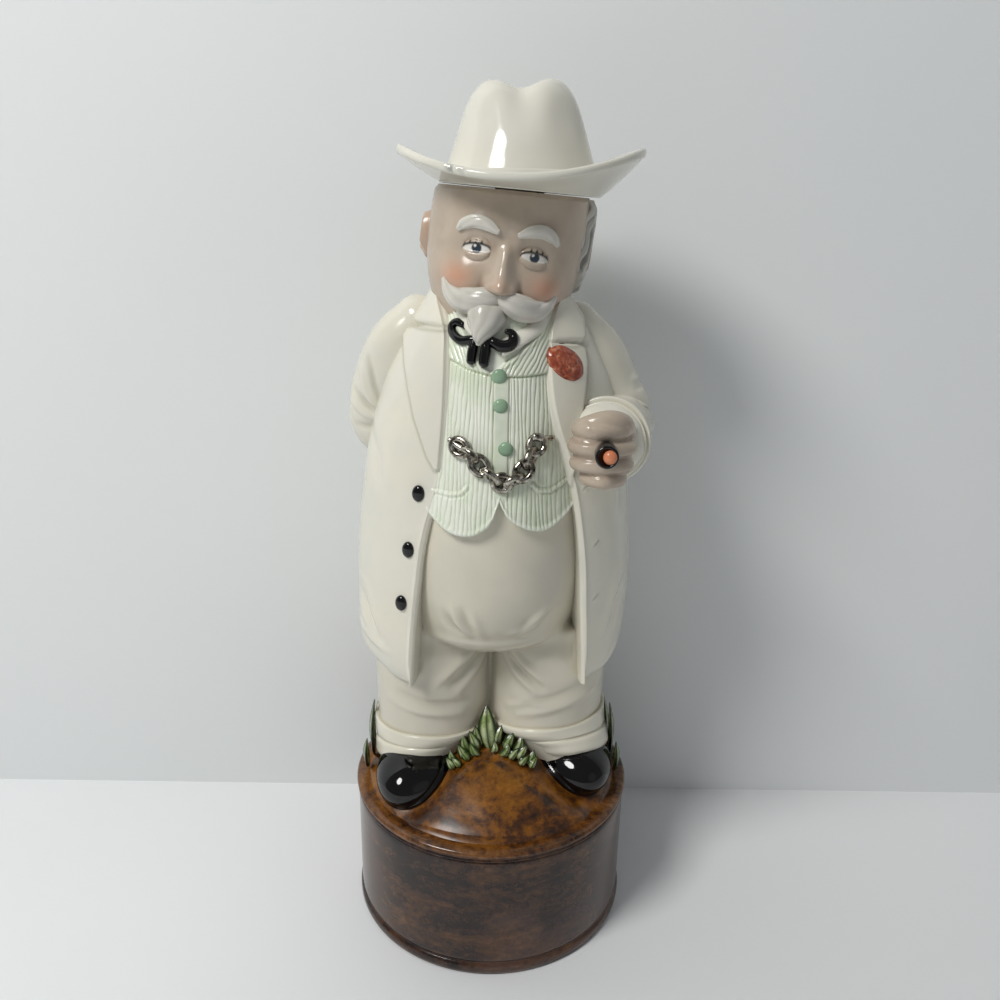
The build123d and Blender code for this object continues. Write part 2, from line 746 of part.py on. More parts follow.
def leaf(foot, height, width, lean, turn):
    """A pointed leaf that stands on the ground."""
    blade = Pos(0, 0, height / 2) * scale(Sphere(height / 2), by=(width / height, leaf_thickness / height, 1))
    return Pos(*foot) * Rot(0, 0, turn) * Rot(0, lean, 0) * blade


def make_tuft(others):
    """The leaves between the shoes."""
    x = figure_x + leg_spacing * 0.02
    y = leg_shift - leg_half_depth * 0.62
    z = ground_z + mound_height * 0.78
    leaves = [leaf((x, y, z), tuft_height, tuft_height * 0.38, -3, 0)]
    for i in range(10):
        along = (i - 4.5) / 4.5
        foot = (x + along * leg_spacing * 0.52, y - leaf_thickness * 0.7, z - abs(along) * leaf_thickness * 1.6)
        height = tuft_height * (0.74 - 0.20 * abs(along))
        leaves.append(leaf(foot, height, tuft_height * 0.30, along * 36, 0))
    return trimmed(joined(leaves), others)


def make_side_leaf(side, others):
    x, y = leg_middle(side)(ground_z)
    foot_x = x + side * (leg_half_width * leg_shares[side][0][1] + leaf_thickness * 0.3)
    foot = (foot_x, y + side_leaf_height * 0.3, ground_z - leaf_thickness)
    blade = leaf(foot, side_leaf_height, side_leaf_height * 0.5, -side * 3, side * 84)
    return trimmed(blade, others)


# Musical movement: heights and places
board_z = recess_height - board_thickness
bed_top = recess_height + bedplate_thickness
wheel_pitch_radius = cylinder_wheel_teeth * gear_module / 2
pinion_pitch_radius = pinion_teeth * gear_module / 2
worm_wheel_radius = worm_wheel_teeth * gear_module / 2
tooth_out = gear_module * 0.75
tooth_in = gear_module * 1.15
axis_z = bed_top + wheel_pitch_radius + tooth_out + end_play
wheel_x = cylinder_start_x + cylinder_length + gear_width
governor_y = cylinder_y + wheel_pitch_radius + pinion_pitch_radius + gear_backlash
worm_wheel_x = wheel_x + gear_width / 2 + post_width + worm_wheel_width
fly_y = governor_y + worm_wheel_radius + tooth_out + body_gap + worm_radius
frame_y = fly_y + fly_half_span + end_play
fly_z = axis_z + worm_wheel_radius + tooth_out + end_play * 2
frame_top = fly_z + fly_height + governor_frame_thickness * 2
screw_inset = screw_head_radius * 1.2
screw_side = bedplate_length / 2 - screw_inset
screw_front = bedplate_width / 2 - screw_inset
screw_spots = [(bedplate_shift - screw_side, -screw_front), (bedplate_shift + screw_side, -screw_front),
               (bedplate_shift - screw_side, screw_front)]
comb_y = cylinder_y - cylinder_radius - comb_reach_gap      # the tips of the comb
comb_x = cylinder_start_x + cylinder_length / 2
comb_screw_spots = [(comb_x + side * comb_width / 3.4, comb_y - comb_length + comb_root_length / 2)
                    for side in (-1, 1)]


def lying(shape):
    """Turns a shape made about Z so that it lies about X."""
    return Rot(0, 90, 0) * shape


def gear(teeth, width, bore):
    """A spur gear about Z, centred on z = 0, with a tooth on +X."""
    pitch_radius = teeth * gear_module / 2
    step = 2 * pi / teeth
    flank = [(pitch_radius - tooth_in, 0.30), (pitch_radius, 0.20), (pitch_radius + tooth_out, 0.09)]
    points = []
    for i in range(teeth):
        for radius, half in flank:
            points.append((radius * cos(step * (i - half)), radius * sin(step * (i - half))))
        for radius, half in reversed(flank):
            points.append((radius * cos(step * (i + half)), radius * sin(step * (i + half))))
    return Pos(0, 0, -width / 2) * extrude(make_face(Polyline(*points, close=True)) - Circle(bore), width)


def make_board():
    board = rod(recess_radius - fit_gap, board_thickness, (0, 0, board_z))
    board -= rod(arbor_radius * 2, far, (housing_x, housing_y, 0))
    board -= rod(stop_pin_radius + body_gap, far, (stop_pin_x, stop_pin_y, 0))
    for x, y in screw_spots:
        board -= rod(screw_radius, far, (x, y, 0))
    return board


def make_bedplate():
    plate = block((bedplate_length, bedplate_width, bedplate_thickness), (bedplate_shift, 0, recess_height))
    plate = fillet(plate.edges().filter_by(Axis.Z), bedplate_corner)
    low = bed_top - bedplate_thickness / 2
    top = axis_z + axle_radius * 2.4
    beside = gear_width / 2 + end_play + post_width / 2
    posts = [
        (cylinder_start_x - end_play - post_width / 2, cylinder_y, post_depth),
        (wheel_x + beside, cylinder_y, post_depth),
        (wheel_x - beside, governor_y, post_depth * 0.6),
        (worm_wheel_x + worm_wheel_width / 2 + end_play + post_width / 2, governor_y, post_depth * 0.6),
    ]
    for x, y, deep in posts:
        plate += block((post_width, deep, top - low), (x, y, low))
    plate -= Pos(0, cylinder_y, axis_z) * lying(Cylinder(axle_radius + bearing_gap, far))
    plate -= Pos(0, governor_y, axis_z) * lying(Cylinder(governor_arbor_radius + bearing_gap, far))
    plate -= rod(arbor_radius * 2, far, (housing_x, housing_y, 0))
    plate -= rod(stop_pin_radius + body_gap, far, (stop_pin_x, stop_pin_y, 0))
    for x, y in screw_spots:
        plate -= rod(screw_radius, far, (x, y, 0))
    step_height = axis_z - comb_thickness / 2 - bed_top
    step = block((comb_width, comb_root_length, step_height), (comb_x, comb_y - comb_length + comb_root_length / 2, bed_top))
    for x, y in comb_screw_spots:
        step -= rod(screw_radius, far, (x, y, bed_top))
    return plate + step


def make_housing():
    housing = rod(housing_radius, housing_height, (housing_x, housing_y, bed_top))
    housing = fillet(housing.edges().filter_by(GeomType.CIRCLE).sort_by(Axis.Z)[-1], bedplate_corner / 2)
    return housing - rod(arbor_radius + bearing_gap, arbor_grip + overrun, (housing_x, housing_y, bed_top - overrun))


def make_arbor():
    foot = board_z - key_drop + key_height
    return rod(arbor_radius, bed_top + arbor_grip - bearing_gap - foot, (housing_x, housing_y, foot))


def make_key():
    """A butterfly key: a hub that takes the arbor, and two round wings."""
    foot = board_z - key_drop
    hub = rod(key_hub_radius, key_drop - overrun / 2, (housing_x, housing_y, foot))
    wing = extrude(Plane.XZ * SlotOverall(key_half_width * 2, key_height), amount=key_thickness / 2, both=True)
    for side in (-1, 1):
        hole = extrude(Plane.XZ * Circle(key_height / 4), amount=key_thickness, both=True)
        wing -= Pos(side * key_half_width * 0.62, 0, 0) * hole
    key = hub + Pos(housing_x, housing_y, foot + key_height / 2) * wing
    return key - rod(arbor_radius, far, (housing_x, housing_y, foot + key_height))


def make_cylinder():
    """The tune cylinder with its pins, on its axle."""
    drum = Pos(cylinder_start_x + cylinder_length / 2, cylinder_y, axis_z) * lying(
        Cylinder(cylinder_radius, cylinder_length))
    start = cylinder_start_x - end_play - post_width
    end = wheel_x + gear_width / 2 + end_play + post_width
    axle = Pos((start + end) / 2, cylinder_y, axis_z) * lying(Cylinder(axle_radius, end - start))
    pitch = cylinder_length / (tune_pin_rows + 1)
    pins = []
    for row in range(tune_pin_rows):
        for i in range(tune_pins_per_row):
            turn = Rot(row * 67 + i * 360 / tune_pins_per_row, 0, 0)
            pin = rod(tune_pin_radius, cylinder_radius + tune_pin_height)
            pins.append(Pos(cylinder_start_x + pitch * (row + 1), cylinder_y, axis_z) * turn * pin)
    return joined([drum, axle]).fuse(*pins)


def make_wheel():
    """The wheel on the end of the pinned cylinder."""
    return Pos(wheel_x, cylinder_y, axis_z) * lying(gear(cylinder_wheel_teeth, gear_width, axle_radius))


def make_comb():
    plate = block((comb_width, comb_length, comb_thickness),
                  (comb_x, comb_y - comb_length / 2, axis_z - comb_thickness / 2))
    pitch = comb_width / tune_pin_rows
    tooth_length = comb_length - comb_root_length
    slots = []
    for i in range(tune_pin_rows - 1):
        x = comb_x - comb_width / 2 + pitch * (i + 1)
        slots.append(block((comb_slot, tooth_length + overrun, far), (x, comb_y + (overrun - tooth_length) / 2, bed_top)))
    comb = plate.cut(*slots)
    for x, y in comb_screw_spots:
        comb -= rod(screw_radius, far, (x, y, bed_top))
    return comb


def screw(shank_length):
    """A round-headed screw whose head stands on z = 0 and whose shank hangs below."""
    return rod(screw_head_radius, screw_head_height) + rod(screw_radius - fit_gap, shank_length, (0, 0, -shank_length))


def make_comb_screws():
    top = axis_z + comb_thickness / 2
    return [Pos(x, y, top) * screw(top - bed_top - fit_gap) for x, y in comb_screw_spots]


def make_bedplate_screws():
    """Screws from below, through the hardboard disc into the bedplate."""
    return [Pos(x, y, board_z) * Rot(180, 0, 0) * screw(board_thickness + bedplate_thickness)
            for x, y in screw_spots]


def make_governor_wheel():
    """Arbor with the pinion that the cylinder's wheel drives, and the worm wheel."""
    start = wheel_x - gear_width / 2 - end_play - post_width
    end = worm_wheel_x + worm_wheel_width / 2 + end_play + post_width
    arbor = Pos((start + end) / 2, governor_y, axis_z) * lying(Cylinder(governor_arbor_radius, end - start))
    core = governor_arbor_radius / 2
    pinion = Pos(wheel_x, governor_y, axis_z) * lying(gear(pinion_teeth, gear_width, core))
    wheel = Pos(worm_wheel_x, governor_y, axis_z) * lying(gear(worm_wheel_teeth, worm_wheel_width, core))
    return joined([arbor, pinion, wheel])


def make_governor_frame():
    """A bracket on the bedplate with an arm below and above the fly."""
    frame = block((governor_frame_width, governor_frame_thickness, frame_top - bed_top),
                  (worm_wheel_x, frame_y + governor_frame_thickness / 2, bed_top))
    arm_length = frame_y - fly_y + worm_radius * 1.5
    for z in (bed_top + end_play, frame_top - governor_frame_thickness):
        frame += block((governor_frame_width / 2, arm_length, governor_frame_thickness),
                       (worm_wheel_x, frame_y - arm_length / 2 + fit_gap, z))
    return frame - rod(fly_spindle_radius + bearing_gap, far, (worm_wheel_x, fly_y, bed_top + fit_gap))


def make_fly():
    """Worm spindle with two flat vanes."""
    foot = bed_top + fit_gap
    worm_height = worm_wheel_radius * 1.1
    spindle = rod(fly_spindle_radius, frame_top - foot, (worm_wheel_x, fly_y, foot))
    worm = rod(worm_radius, worm_height, (worm_wheel_x, fly_y, axis_z - worm_height / 2))
    vanes = block((fly_half_span * 2, fly_thickness, fly_height),
                  (worm_wheel_x, fly_y, fly_z + governor_frame_thickness / 2))
    return joined([spindle, worm, vanes])


def make_stop_pin():
    top = bed_top + body_gap + stop_pin_travel
    shank = rod(stop_pin_radius, top - body_gap, (stop_pin_x, stop_pin_y, body_gap))
    return shank + rod(stop_pin_collar_radius, bedplate_thickness / 2, (stop_pin_x, stop_pin_y, top))


def build():
    os.makedirs("parts", exist_ok=True)
    write("base_board", [make_board()])
    write("movement_bedplate", [make_bedplate()])
    write("spring_housing", [make_housing()])
    write("winding_arbor", [make_arbor()])
    write("winding_key", [make_key()])
    write("tune_cylinder", [make_cylinder()])
    write("cylinder_wheel", [make_wheel()])
    write("tune_comb", [make_comb()])
    write("comb_screws", make_comb_screws())
    write("bedplate_screws", make_bedplate_screws())
    write("governor_wheel", [make_governor_wheel()])
    write("governor_frame", [make_governor_frame()])
    write("governor_fly", [make_fly()])
    write("stop_pin", [make_stop_pin()])
    write("drum_base", [make_drum()])
    write("ground_casting", [make_ground()])
    ground = ground_block()
    torso = make_torso()
    legs = [make_leg(-1), make_leg(1)]
    head_form = head_loft(0)
    write("figure_casting", [trimmed(joined(torso + legs), [ground, head_form, liquor_space()])])
    head = make_head()
    write("head_casting", [head])
    write("hair", [make_hair(head, torso)])
    moustache = make_moustache(head)
    write("moustache", [moustache])
    write("eyebrows", make_brows(head))
    write("hat_stopper", [make_hat()])
    write("stopper_seal", [make_seal()])
    waistcoat = make_waistcoat(head_form, torso) - moustache
    write("waistcoat", [waistcoat])
    dressed = [waistcoat, *torso]
    goatee = make_goatee(head, dressed) - moustache
    write("goatee", [goatee])
    front_sleeve = make_sleeve(front_arm_shares, front_arm_radius_shares, dressed)
    rear_sleeve = make_sleeve(rear_arm_shares, rear_arm_radius_shares, torso)
    write("front_sleeve", [front_sleeve])
    write("rear_sleeve", [rear_sleeve])
    fist, centre = make_fist(front_arm_shares, 1.05, front_sleeve, dressed)
    cigar, ember = make_cigar(centre)
    write("front_hand", [fist - cigar - ember])
    write("cigar", [cigar])
    write("cigar_ember", [ember])
    write("rear_hand", [make_fist(rear_arm_shares, 0.9, rear_sleeve, torso[:1])[0]])
    shoes = [make_shoe(i, ground, legs) for i in range(2)]
    write("left_shoe", [shoes[0]])
    write("right_shoe", [shoes[1]])
    write("coat_buttons", make_coat_buttons(torso))
    write("waistcoat_buttons", make_waistcoat_buttons(waistcoat))
    write("string_tie", make_tie())
    write("watch_chain", make_chain())
    write("buttonhole_flower", [make_flower(torso)])
    standing = [ground, *legs, *shoes]
    write("front_leaves", [make_tuft(standing)])
    write("left_leaf", [make_side_leaf(-1, standing)])
    write("right_leaf", [make_side_leaf(1, standing)])


build()
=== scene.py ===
# The looks of a figural liquor decanter: a portly gentleman in a white frock coat on a round
# brown drum. Lengths are in millimetres until a mesh is written. The front is towards -Y.
import bpy
import bmesh
import math
import numpy as np
from mathutils import Euler, Matrix, Vector


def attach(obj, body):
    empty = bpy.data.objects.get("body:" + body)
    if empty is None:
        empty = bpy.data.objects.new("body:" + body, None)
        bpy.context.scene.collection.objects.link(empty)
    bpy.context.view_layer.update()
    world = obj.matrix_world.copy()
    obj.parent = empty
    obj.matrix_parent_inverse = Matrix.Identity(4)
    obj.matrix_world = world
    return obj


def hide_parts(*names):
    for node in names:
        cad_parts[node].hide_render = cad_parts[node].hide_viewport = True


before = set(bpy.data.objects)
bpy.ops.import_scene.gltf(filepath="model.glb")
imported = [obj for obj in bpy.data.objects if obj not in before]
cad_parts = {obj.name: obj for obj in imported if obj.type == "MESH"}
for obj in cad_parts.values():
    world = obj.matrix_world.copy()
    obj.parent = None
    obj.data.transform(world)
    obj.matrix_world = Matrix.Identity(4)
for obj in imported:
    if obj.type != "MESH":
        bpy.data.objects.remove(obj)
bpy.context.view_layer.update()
MM = 0.001
TAU = 2 * np.pi


# Sums on arrays
def share(value, low, high):
    """How far value has come from low to high, kept between 0 and 1."""
    return np.clip((value - low) / (high - low), 0.0, 1.0)


def smooth(low, high, value):
    """The same with soft ends."""
    t = share(value, low, high)
    return t * t * (3 - 2 * t)


def xyz(points):
    return np.moveaxis(points, -1, 0)


def bump(value, centre, width):
    return np.exp(-((value - centre) / width) ** 2)


def curve(table, t):
    """A smooth line through the points of a table."""
    x, y = np.array(table, float).T
    slope = np.gradient(y, x)
    t = np.clip(t, x[0], x[-1])
    i = np.clip(np.searchsorted(x, t) - 1, 0, len(x) - 2)
    h = x[i + 1] - x[i]
    s = (t - x[i]) / h
    return ((1 + 2 * s) * (1 - s) ** 2 * y[i] + s * (1 - s) ** 2 * h * slope[i]
            + s * s * (3 - 2 * s) * y[i + 1] + s * s * (s - 1) * h * slope[i + 1])


def path_points(points, t):
    """Places along a smooth line through points; t runs from 0 to 1."""
    steps = np.linspace(0, 1, len(points))
    return [curve(list(zip(steps, values)), t) for values in zip(*points)]


def line_distance(points, x, z):
    """Distance to an open line, and how far along it the nearest place is."""
    near = np.full(np.shape(x), 1e9)
    along = np.zeros(np.shape(x))
    total = sum(math.dist(a, b) for a, b in zip(points, points[1:]))
    passed = 0.0
    for (ax, az), (bx, bz) in zip(points, points[1:]):
        length = math.dist((ax, az), (bx, bz))
        t = np.clip(((x - ax) * (bx - ax) + (z - az) * (bz - az)) / length ** 2, 0, 1)
        d = np.hypot(x - ax - t * (bx - ax), z - az - t * (bz - az))
        along = np.where(d < near, (passed + t * length) / total, along)
        near = np.minimum(near, d)
        passed += length
    return near, along


def fold(points, width, height, x, z):
    """A soft ridge, or a groove where height is negative, that fades out at both ends."""
    near, along = line_distance(points, x, z)
    return height * np.exp(-(near / width) ** 2) * np.sin(np.pi * (0.12 + 0.76 * along))


def depth_inside(outline, x, z):
    """Distance to the edge of a closed outline, positive inside it."""
    near = np.full(np.shape(x), 1e9)
    within = np.zeros(np.shape(x), bool)
    for (ax, az), (bx, bz) in zip(outline, outline[1:] + outline[:1]):
        t = np.clip(((x - ax) * (bx - ax) + (z - az) * (bz - az)) / math.dist((ax, az), (bx, bz)) ** 2, 0, 1)
        near = np.minimum(near, np.hypot(x - ax - t * (bx - ax), z - az - t * (bz - az)))
        if az != bz:
            within ^= ((az > z) != (bz > z)) & (x < ax + (z - az) * (bx - ax) / (bz - az))
    return np.where(within, near, -near)


def wave(seed, scale, *coordinates):
    """Slow, even unevenness between -1 and 1."""
    rng = np.random.default_rng(seed)
    total = 0.0
    for _ in range(5):
        weights = rng.normal(size=len(coordinates)) / scale
        total = total + np.sin(sum(w * c for w, c in zip(weights, coordinates)) + rng.uniform(0, 6.28))
    return total / 3


# Meshes
def finish_piece(name, mesh, body, material, nodes):
    """Shows a mesh as a smooth piece that rides on a body in place of its nodes."""
    mesh.polygons.foreach_set("use_smooth", [True] * len(mesh.polygons))
    piece = bpy.data.objects.new(name, mesh)
    bpy.context.scene.collection.objects.link(piece)
    mesh.materials.append(material)
    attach(piece, body)
    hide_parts(*nodes)


def facing(points, ring):
    """Normals of a grid of points; a ring's first and last columns are the same."""
    if ring:
        wrapped = np.concatenate([points[:, -2:-1], points, points[:, 1:2]], axis=1)
        across = wrapped[:, 2:] - wrapped[:, :-2]
    else:
        across = np.gradient(points, axis=1)
    out = np.cross(across, np.gradient(points, axis=0))
    # Rows that close to a point face the way their neighbours do.
    for row, beside in ((0, 1), (-1, -2)):
        if np.linalg.norm(across[row], axis=-1).max() < 1e-6:
            out[row] = out[beside].mean(0)
    return out / np.maximum(np.linalg.norm(out, axis=-1, keepdims=True), 1e-9)


def skin(place, columns, rows, relief=None, ring=False, paint=None, front=None):
    """A fine grid laid over a form. place gives a point for two shares from 0 to 1, relief moves it out
    by millimetres, and paint gives amounts that the material reads."""
    shape = bmesh.new()
    bmesh.ops.create_grid(shape, x_segments=columns, y_segments=rows, size=0.5)
    mesh = bpy.data.meshes.new("skin")
    shape.to_mesh(mesh)
    flat = np.zeros(len(mesh.vertices) * 3)
    mesh.vertices.foreach_get("co", flat)
    flat = flat.reshape(-1, 3)
    order = np.lexsort((flat[:, 0].round(6), flat[:, 1].round(6)))
    size = (len(np.unique(flat[:, 1].round(6))), len(np.unique(flat[:, 0].round(6))))
    across = flat[order, 0].reshape(size) + 0.5
    up = flat[order, 1].reshape(size) + 0.5
    points = np.stack(np.broadcast_arrays(*place(across, up)), -1).astype(float)
    out = facing(points, ring)
    away = points - points.mean((0, 1)) if front is None else np.array(front)
    turned = np.mean(np.sum(out * away, -1)) < 0
    if turned:
        out = -out
    if relief is not None:
        points = points + out * relief(across, up, points)[..., None]
    moved = np.empty_like(flat)
    moved[order] = points.reshape(-1, 3) * MM
    mesh.vertices.foreach_set("co", moved.ravel())
    for name, amount in (paint(across, up, points) if paint else {}).items():
        values = np.empty(len(flat), np.float32)
        values[order] = np.broadcast_to(amount, size).ravel()
        mesh.attributes.new(name, "FLOAT", "POINT").data.foreach_set("value", values)
    shape.clear()
    shape.from_mesh(mesh)
    bmesh.ops.remove_doubles(shape, verts=shape.verts, dist=1e-6)
    bmesh.ops.dissolve_degenerate(shape, edges=shape.edges, dist=1e-7)
    if turned:
        bmesh.ops.reverse_faces(shape, faces=shape.faces)
    shape.to_mesh(mesh)
    shape.free()
    return mesh


def joined(meshes):
    """One mesh from several."""
    shape = bmesh.new()
    for mesh in meshes:
        shape.from_mesh(mesh)
    total = bpy.data.meshes.new("joined")
    shape.to_mesh(total)
    shape.free()
    return total


def clay(meshes, voxel, rounds):
    """Melts overlapping meshes into one skin, as soft clay is pressed together."""
    blank = bpy.data.objects.new("clay", joined(meshes))
    bpy.context.scene.collection.objects.link(blank)
    remesh = blank.modifiers.new("melt", "REMESH")
    remesh.mode = "VOXEL"
    remesh.voxel_size = voxel * MM
    relax = blank.modifiers.new("relax", "SMOOTH")
    relax.iterations = rounds
    relax.factor = 0.5
    bpy.context.view_layer.update()
    seen = blank.evaluated_get(bpy.context.evaluated_depsgraph_get())
    mesh = bpy.data.meshes.new_from_object(seen)
    bpy.data.objects.remove(blank)
    return mesh


def carve(mesh, relief, paint=None):
    """Moves the points of a mesh along their normals by millimetres."""
    count = len(mesh.vertices)
    co = np.zeros(count * 3)
    out = np.zeros(count * 3)
    mesh.vertices.foreach_get("co", co)
    mesh.vertex_normals.foreach_get("vector", out)
    co = co.reshape(-1, 3)
    out = out.reshape(-1, 3)
    co = co + out * relief(*(co / MM).T, *out.T)[:, None] * MM
    mesh.vertices.foreach_set("co", co.ravel())
    for name, amount in (paint(*(co / MM).T) if paint else {}).items():
        mesh.attributes.new(name, "FLOAT", "POINT").data.foreach_set("value", amount.astype(np.float32))
    mesh.update()
    return mesh


def tube(points, radii, columns=24, rows=40, relief=None, paint=None, squash=1.0, caps=True):
    """A round skin along a smooth line, closed with round ends. squash flattens it from front to back."""
    t = np.linspace(0, 1, rows + 1)
    spine = np.stack(path_points(points, t), -1)
    ahead = np.gradient(spine, axis=0)
    ahead /= np.linalg.norm(ahead, axis=1, keepdims=True)
    side = np.cross(ahead, (0.0, 1.0, 0.0))
    weak = np.linalg.norm(side, axis=1) < 0.25
    side[weak] = np.cross(ahead[weak], (0.0, 0.0, 1.0))
    side /= np.linalg.norm(side, axis=1, keepdims=True)
    if squash == 1.0:
        # A round skin carries its first ring along without twisting it.
        for i in range(1, len(side)):
            side[i] = side[i - 1] - ahead[i] * np.dot(ahead[i], side[i - 1])
            side[i] /= np.linalg.norm(side[i])
    other = np.cross(side, ahead)
    radius = curve(list(zip(np.linspace(0, 1, len(radii)), radii)), t)
    extra = 8 if caps else 0

    def place(across, up):
        k = up * (rows + 2 * extra) - extra
        i = np.clip(np.round(k), 0, rows).astype(int)
        over = np.where(k < 0, k, np.where(k > rows, k - rows, 0.0)) / max(extra, 1)
        angle = across * TAU
        r = radius[i] * np.cos(over * np.pi / 2)
        push = radius[i] * np.sin(over * np.pi / 2)
        wide = r * np.cos(angle)
        deep = r * np.sin(angle) * squash
        return [spine[i, a] + ahead[i, a] * push * 0.8 + side[i, a] * wide + other[i, a] * deep
                for a in range(3)]

    return skin(place, columns, rows + 2 * extra, relief, True, paint)


def ball(centre, half, turn=(0, 0, 0), columns=24, rows=16):
    """An egg shape, turned by degrees."""
    shape = bmesh.new()
    bmesh.ops.create_uvsphere(shape, u_segments=columns, v_segments=rows, radius=1.0)
    place = Matrix.LocRotScale(Vector(centre) * MM, Euler([math.radians(a) for a in turn]), Vector(half) * MM)
    bmesh.ops.transform(shape, matrix=place, verts=shape.verts)
    mesh = bpy.data.meshes.new("ball")
    shape.to_mesh(mesh)
    shape.free()
    return mesh


def spun(profile, segments):
    """A turned form from a closed profile of radius and height."""
    shape = bmesh.new()
    verts = [shape.verts.new((r * MM, 0, z * MM)) for r, z in profile]
    edges = [shape.edges.new((a, b)) for a, b in zip(verts, verts[1:] + verts[:1])]
    bmesh.ops.spin(shape, geom=verts + edges, cent=(0, 0, 0), axis=(0, 0, 1), angle=2 * math.pi,
                   steps=segments, use_merge=True, use_duplicate=False)
    bmesh.ops.remove_doubles(shape, verts=shape.verts, dist=1e-6)
    bmesh.ops.recalc_face_normals(shape, faces=shape.faces)
    mesh = bpy.data.meshes.new("spun")
    shape.to_mesh(mesh)
    shape.free()
    return mesh


# Materials
def rgb(code):
    """A colour from its code in hexadecimal digits."""
    values = [int(code[i:i + 2], 16) / 255 for i in (0, 2, 4)]
    return tuple(v / 12.92 if v < 0.04045 else ((v + 0.055) / 1.055) ** 2.4 for v in values) + (1.0,)


class Signal:
    """A shader socket that takes part in sums."""

    def __init__(self, recipe, socket):
        self.recipe = recipe
        self.socket = socket

    def maths(self, operation, *values):
        return self.recipe.node("ShaderNodeMath", {"operation": operation}, dict(enumerate(values)))

    def __add__(self, other):
        return self.maths("ADD", self, other)

    def __sub__(self, other):
        return self.maths("SUBTRACT", self, other)

    def __rsub__(self, other):
        return self.maths("SUBTRACT", other, self)

    def __mul__(self, other):
        return self.maths("MULTIPLY", self, other)

    def between(self, low, high):
        """0 at low and 1 at high, with soft ends."""
        return self.recipe.node("ShaderNodeMapRange", {"interpolation_type": "SMOOTHSTEP"},
                                {"Value": self, "From Min": low, "From Max": high})


class Recipe:
    """One material and its nodes."""

    def __init__(self, name, **fixed):
        self.material = bpy.data.materials.new(name)
        self.material.use_nodes = True
        self.tree = self.material.node_tree
        self.shader = self.tree.nodes["Principled BSDF"]
        self.set(**fixed)

    def set(self, **values):
        for key, value in values.items():
            self.feed(self.shader.inputs[key.replace("_", " ")], value)

    def feed(self, socket, value):
        if isinstance(value, Signal):
            self.tree.links.new(value.socket, socket)
        elif value is not None:
            socket.default_value = value

    def node(self, kind, settings=None, inputs=None, out=0):
        node = self.tree.nodes.new(kind)
        for key, value in (settings or {}).items():
            if key == "stops":
                while len(node.color_ramp.elements) < len(value):
                    node.color_ramp.elements.new(1.0)
                for element, (position, colour) in zip(node.color_ramp.elements, value):
                    element.position = position
                    element.color = colour
            else:
                setattr(node, key, value)
        for key, value in (inputs or {}).items():
            self.feed(node.inputs[key], value)
        return Signal(self, node.outputs[out])

    def place(self):
        return self.node("ShaderNodeTexCoord", out="Object")

    def amount(self, name):
        return self.node("ShaderNodeAttribute", {"attribute_name": name}, out="Fac")

    def stretched(self, scale):
        return self.node("ShaderNodeMapping", None, {"Vector": self.place(), "Scale": scale})

    def noise(self, scale, detail=3.0, rough=0.55, vector=None, warp=0.0):
        return self.node("ShaderNodeTexNoise", None, {
            "Vector": vector or self.place(), "Scale": scale, "Detail": detail, "Roughness": rough,
            "Distortion": warp})

    def mix(self, factor, a, b):
        return self.node("ShaderNodeMix", {"data_type": "RGBA"}, {0: factor, 6: a, 7: b}, out=2)

    def ramp(self, factor, stops):
        return self.node("ShaderNodeValToRGB", {"stops": [(p, rgb(c)) for p, c in stops]}, {"Fac": factor})

    def uneven(self, height, strength, distance):
        self.set(Normal=self.node("ShaderNodeBump", None, {
            "Strength": strength, "Distance": distance * MM, "Height": height}, out="Normal"))


def glaze(name, colour=None, rough=0.16, ripple=0.25):
    """Glossy fired glaze: slightly uneven, with a little pooling of tone."""
    recipe = Recipe(name, IOR=1.5)
    slow = recipe.noise(28.0, 2.0, 0.5)
    fine = recipe.noise(420.0, 3.0, 0.6)
    grit = recipe.noise(2300.0, 1.0, 0.5)
    recipe.set(Roughness=(slow - 0.5) * 0.10 + (fine - 0.5) * 0.06 + rough)
    recipe.uneven(slow + fine * 0.10 + grit * 0.012, 0.6, ripple)
    if colour:
        cloud = recipe.noise(60.0, 3.0).between(0.35, 0.7)
        recipe.set(Base_Color=recipe.mix(cloud, rgb(colour[0]), rgb(colour[1])))
    return recipe


def white_glaze(name, warm="e4e0d0", cool="dedccf", shade="b9b5a2"):
    """Off-white glaze with painted shade: darker in the carved hollows and creases, and under and inside other
    parts.
    """
    recipe = glaze(name)
    base = recipe.mix(recipe.noise(35.0, 3.0).between(0.35, 0.68), rgb(warm), rgb(cool))
    # The shade colour is painted shade, mixed in where the mesh marks its hollows and creases as shaded.
    recipe.set(Base_Color=recipe.mix(recipe.amount("hollow") * 0.75, base, rgb(shade)))
    return recipe.material


coat_glaze = white_glaze("coat_white_glaze")
# The trousers take the coat's white glaze painted darker, as painted shade for trousers that sit under the
# belly and coat.
shaded_trouser_glaze = white_glaze("trouser_white_glaze_in_painted_shade", "d9d3c1", "d2cdbd", "a9a390")
cuff_glaze = white_glaze("cuff_cream_glaze", "e6e1d0", "dedac9", "aea892")
shirt_glaze = white_glaze("shirt_white_glaze", "e6e3d6", "dfddd1", "b0ad9d")


def waistcoat_paint():
    recipe = glaze("ribbed_waistcoat_glaze", rough=0.15)
    cloud = recipe.noise(90.0, 4.0, 0.6).between(0.35, 0.7)
    crest = recipe.mix(cloud, rgb("eef1e4"), rgb("e2e9d4"))
    groove = recipe.mix(recipe.noise(160.0, 3.0).between(0.3, 0.7), rgb("a3b189"), rgb("cdd8b8"))
    recipe.set(Base_Color=recipe.mix(recipe.amount("groove"), crest, groove))
    return recipe.material


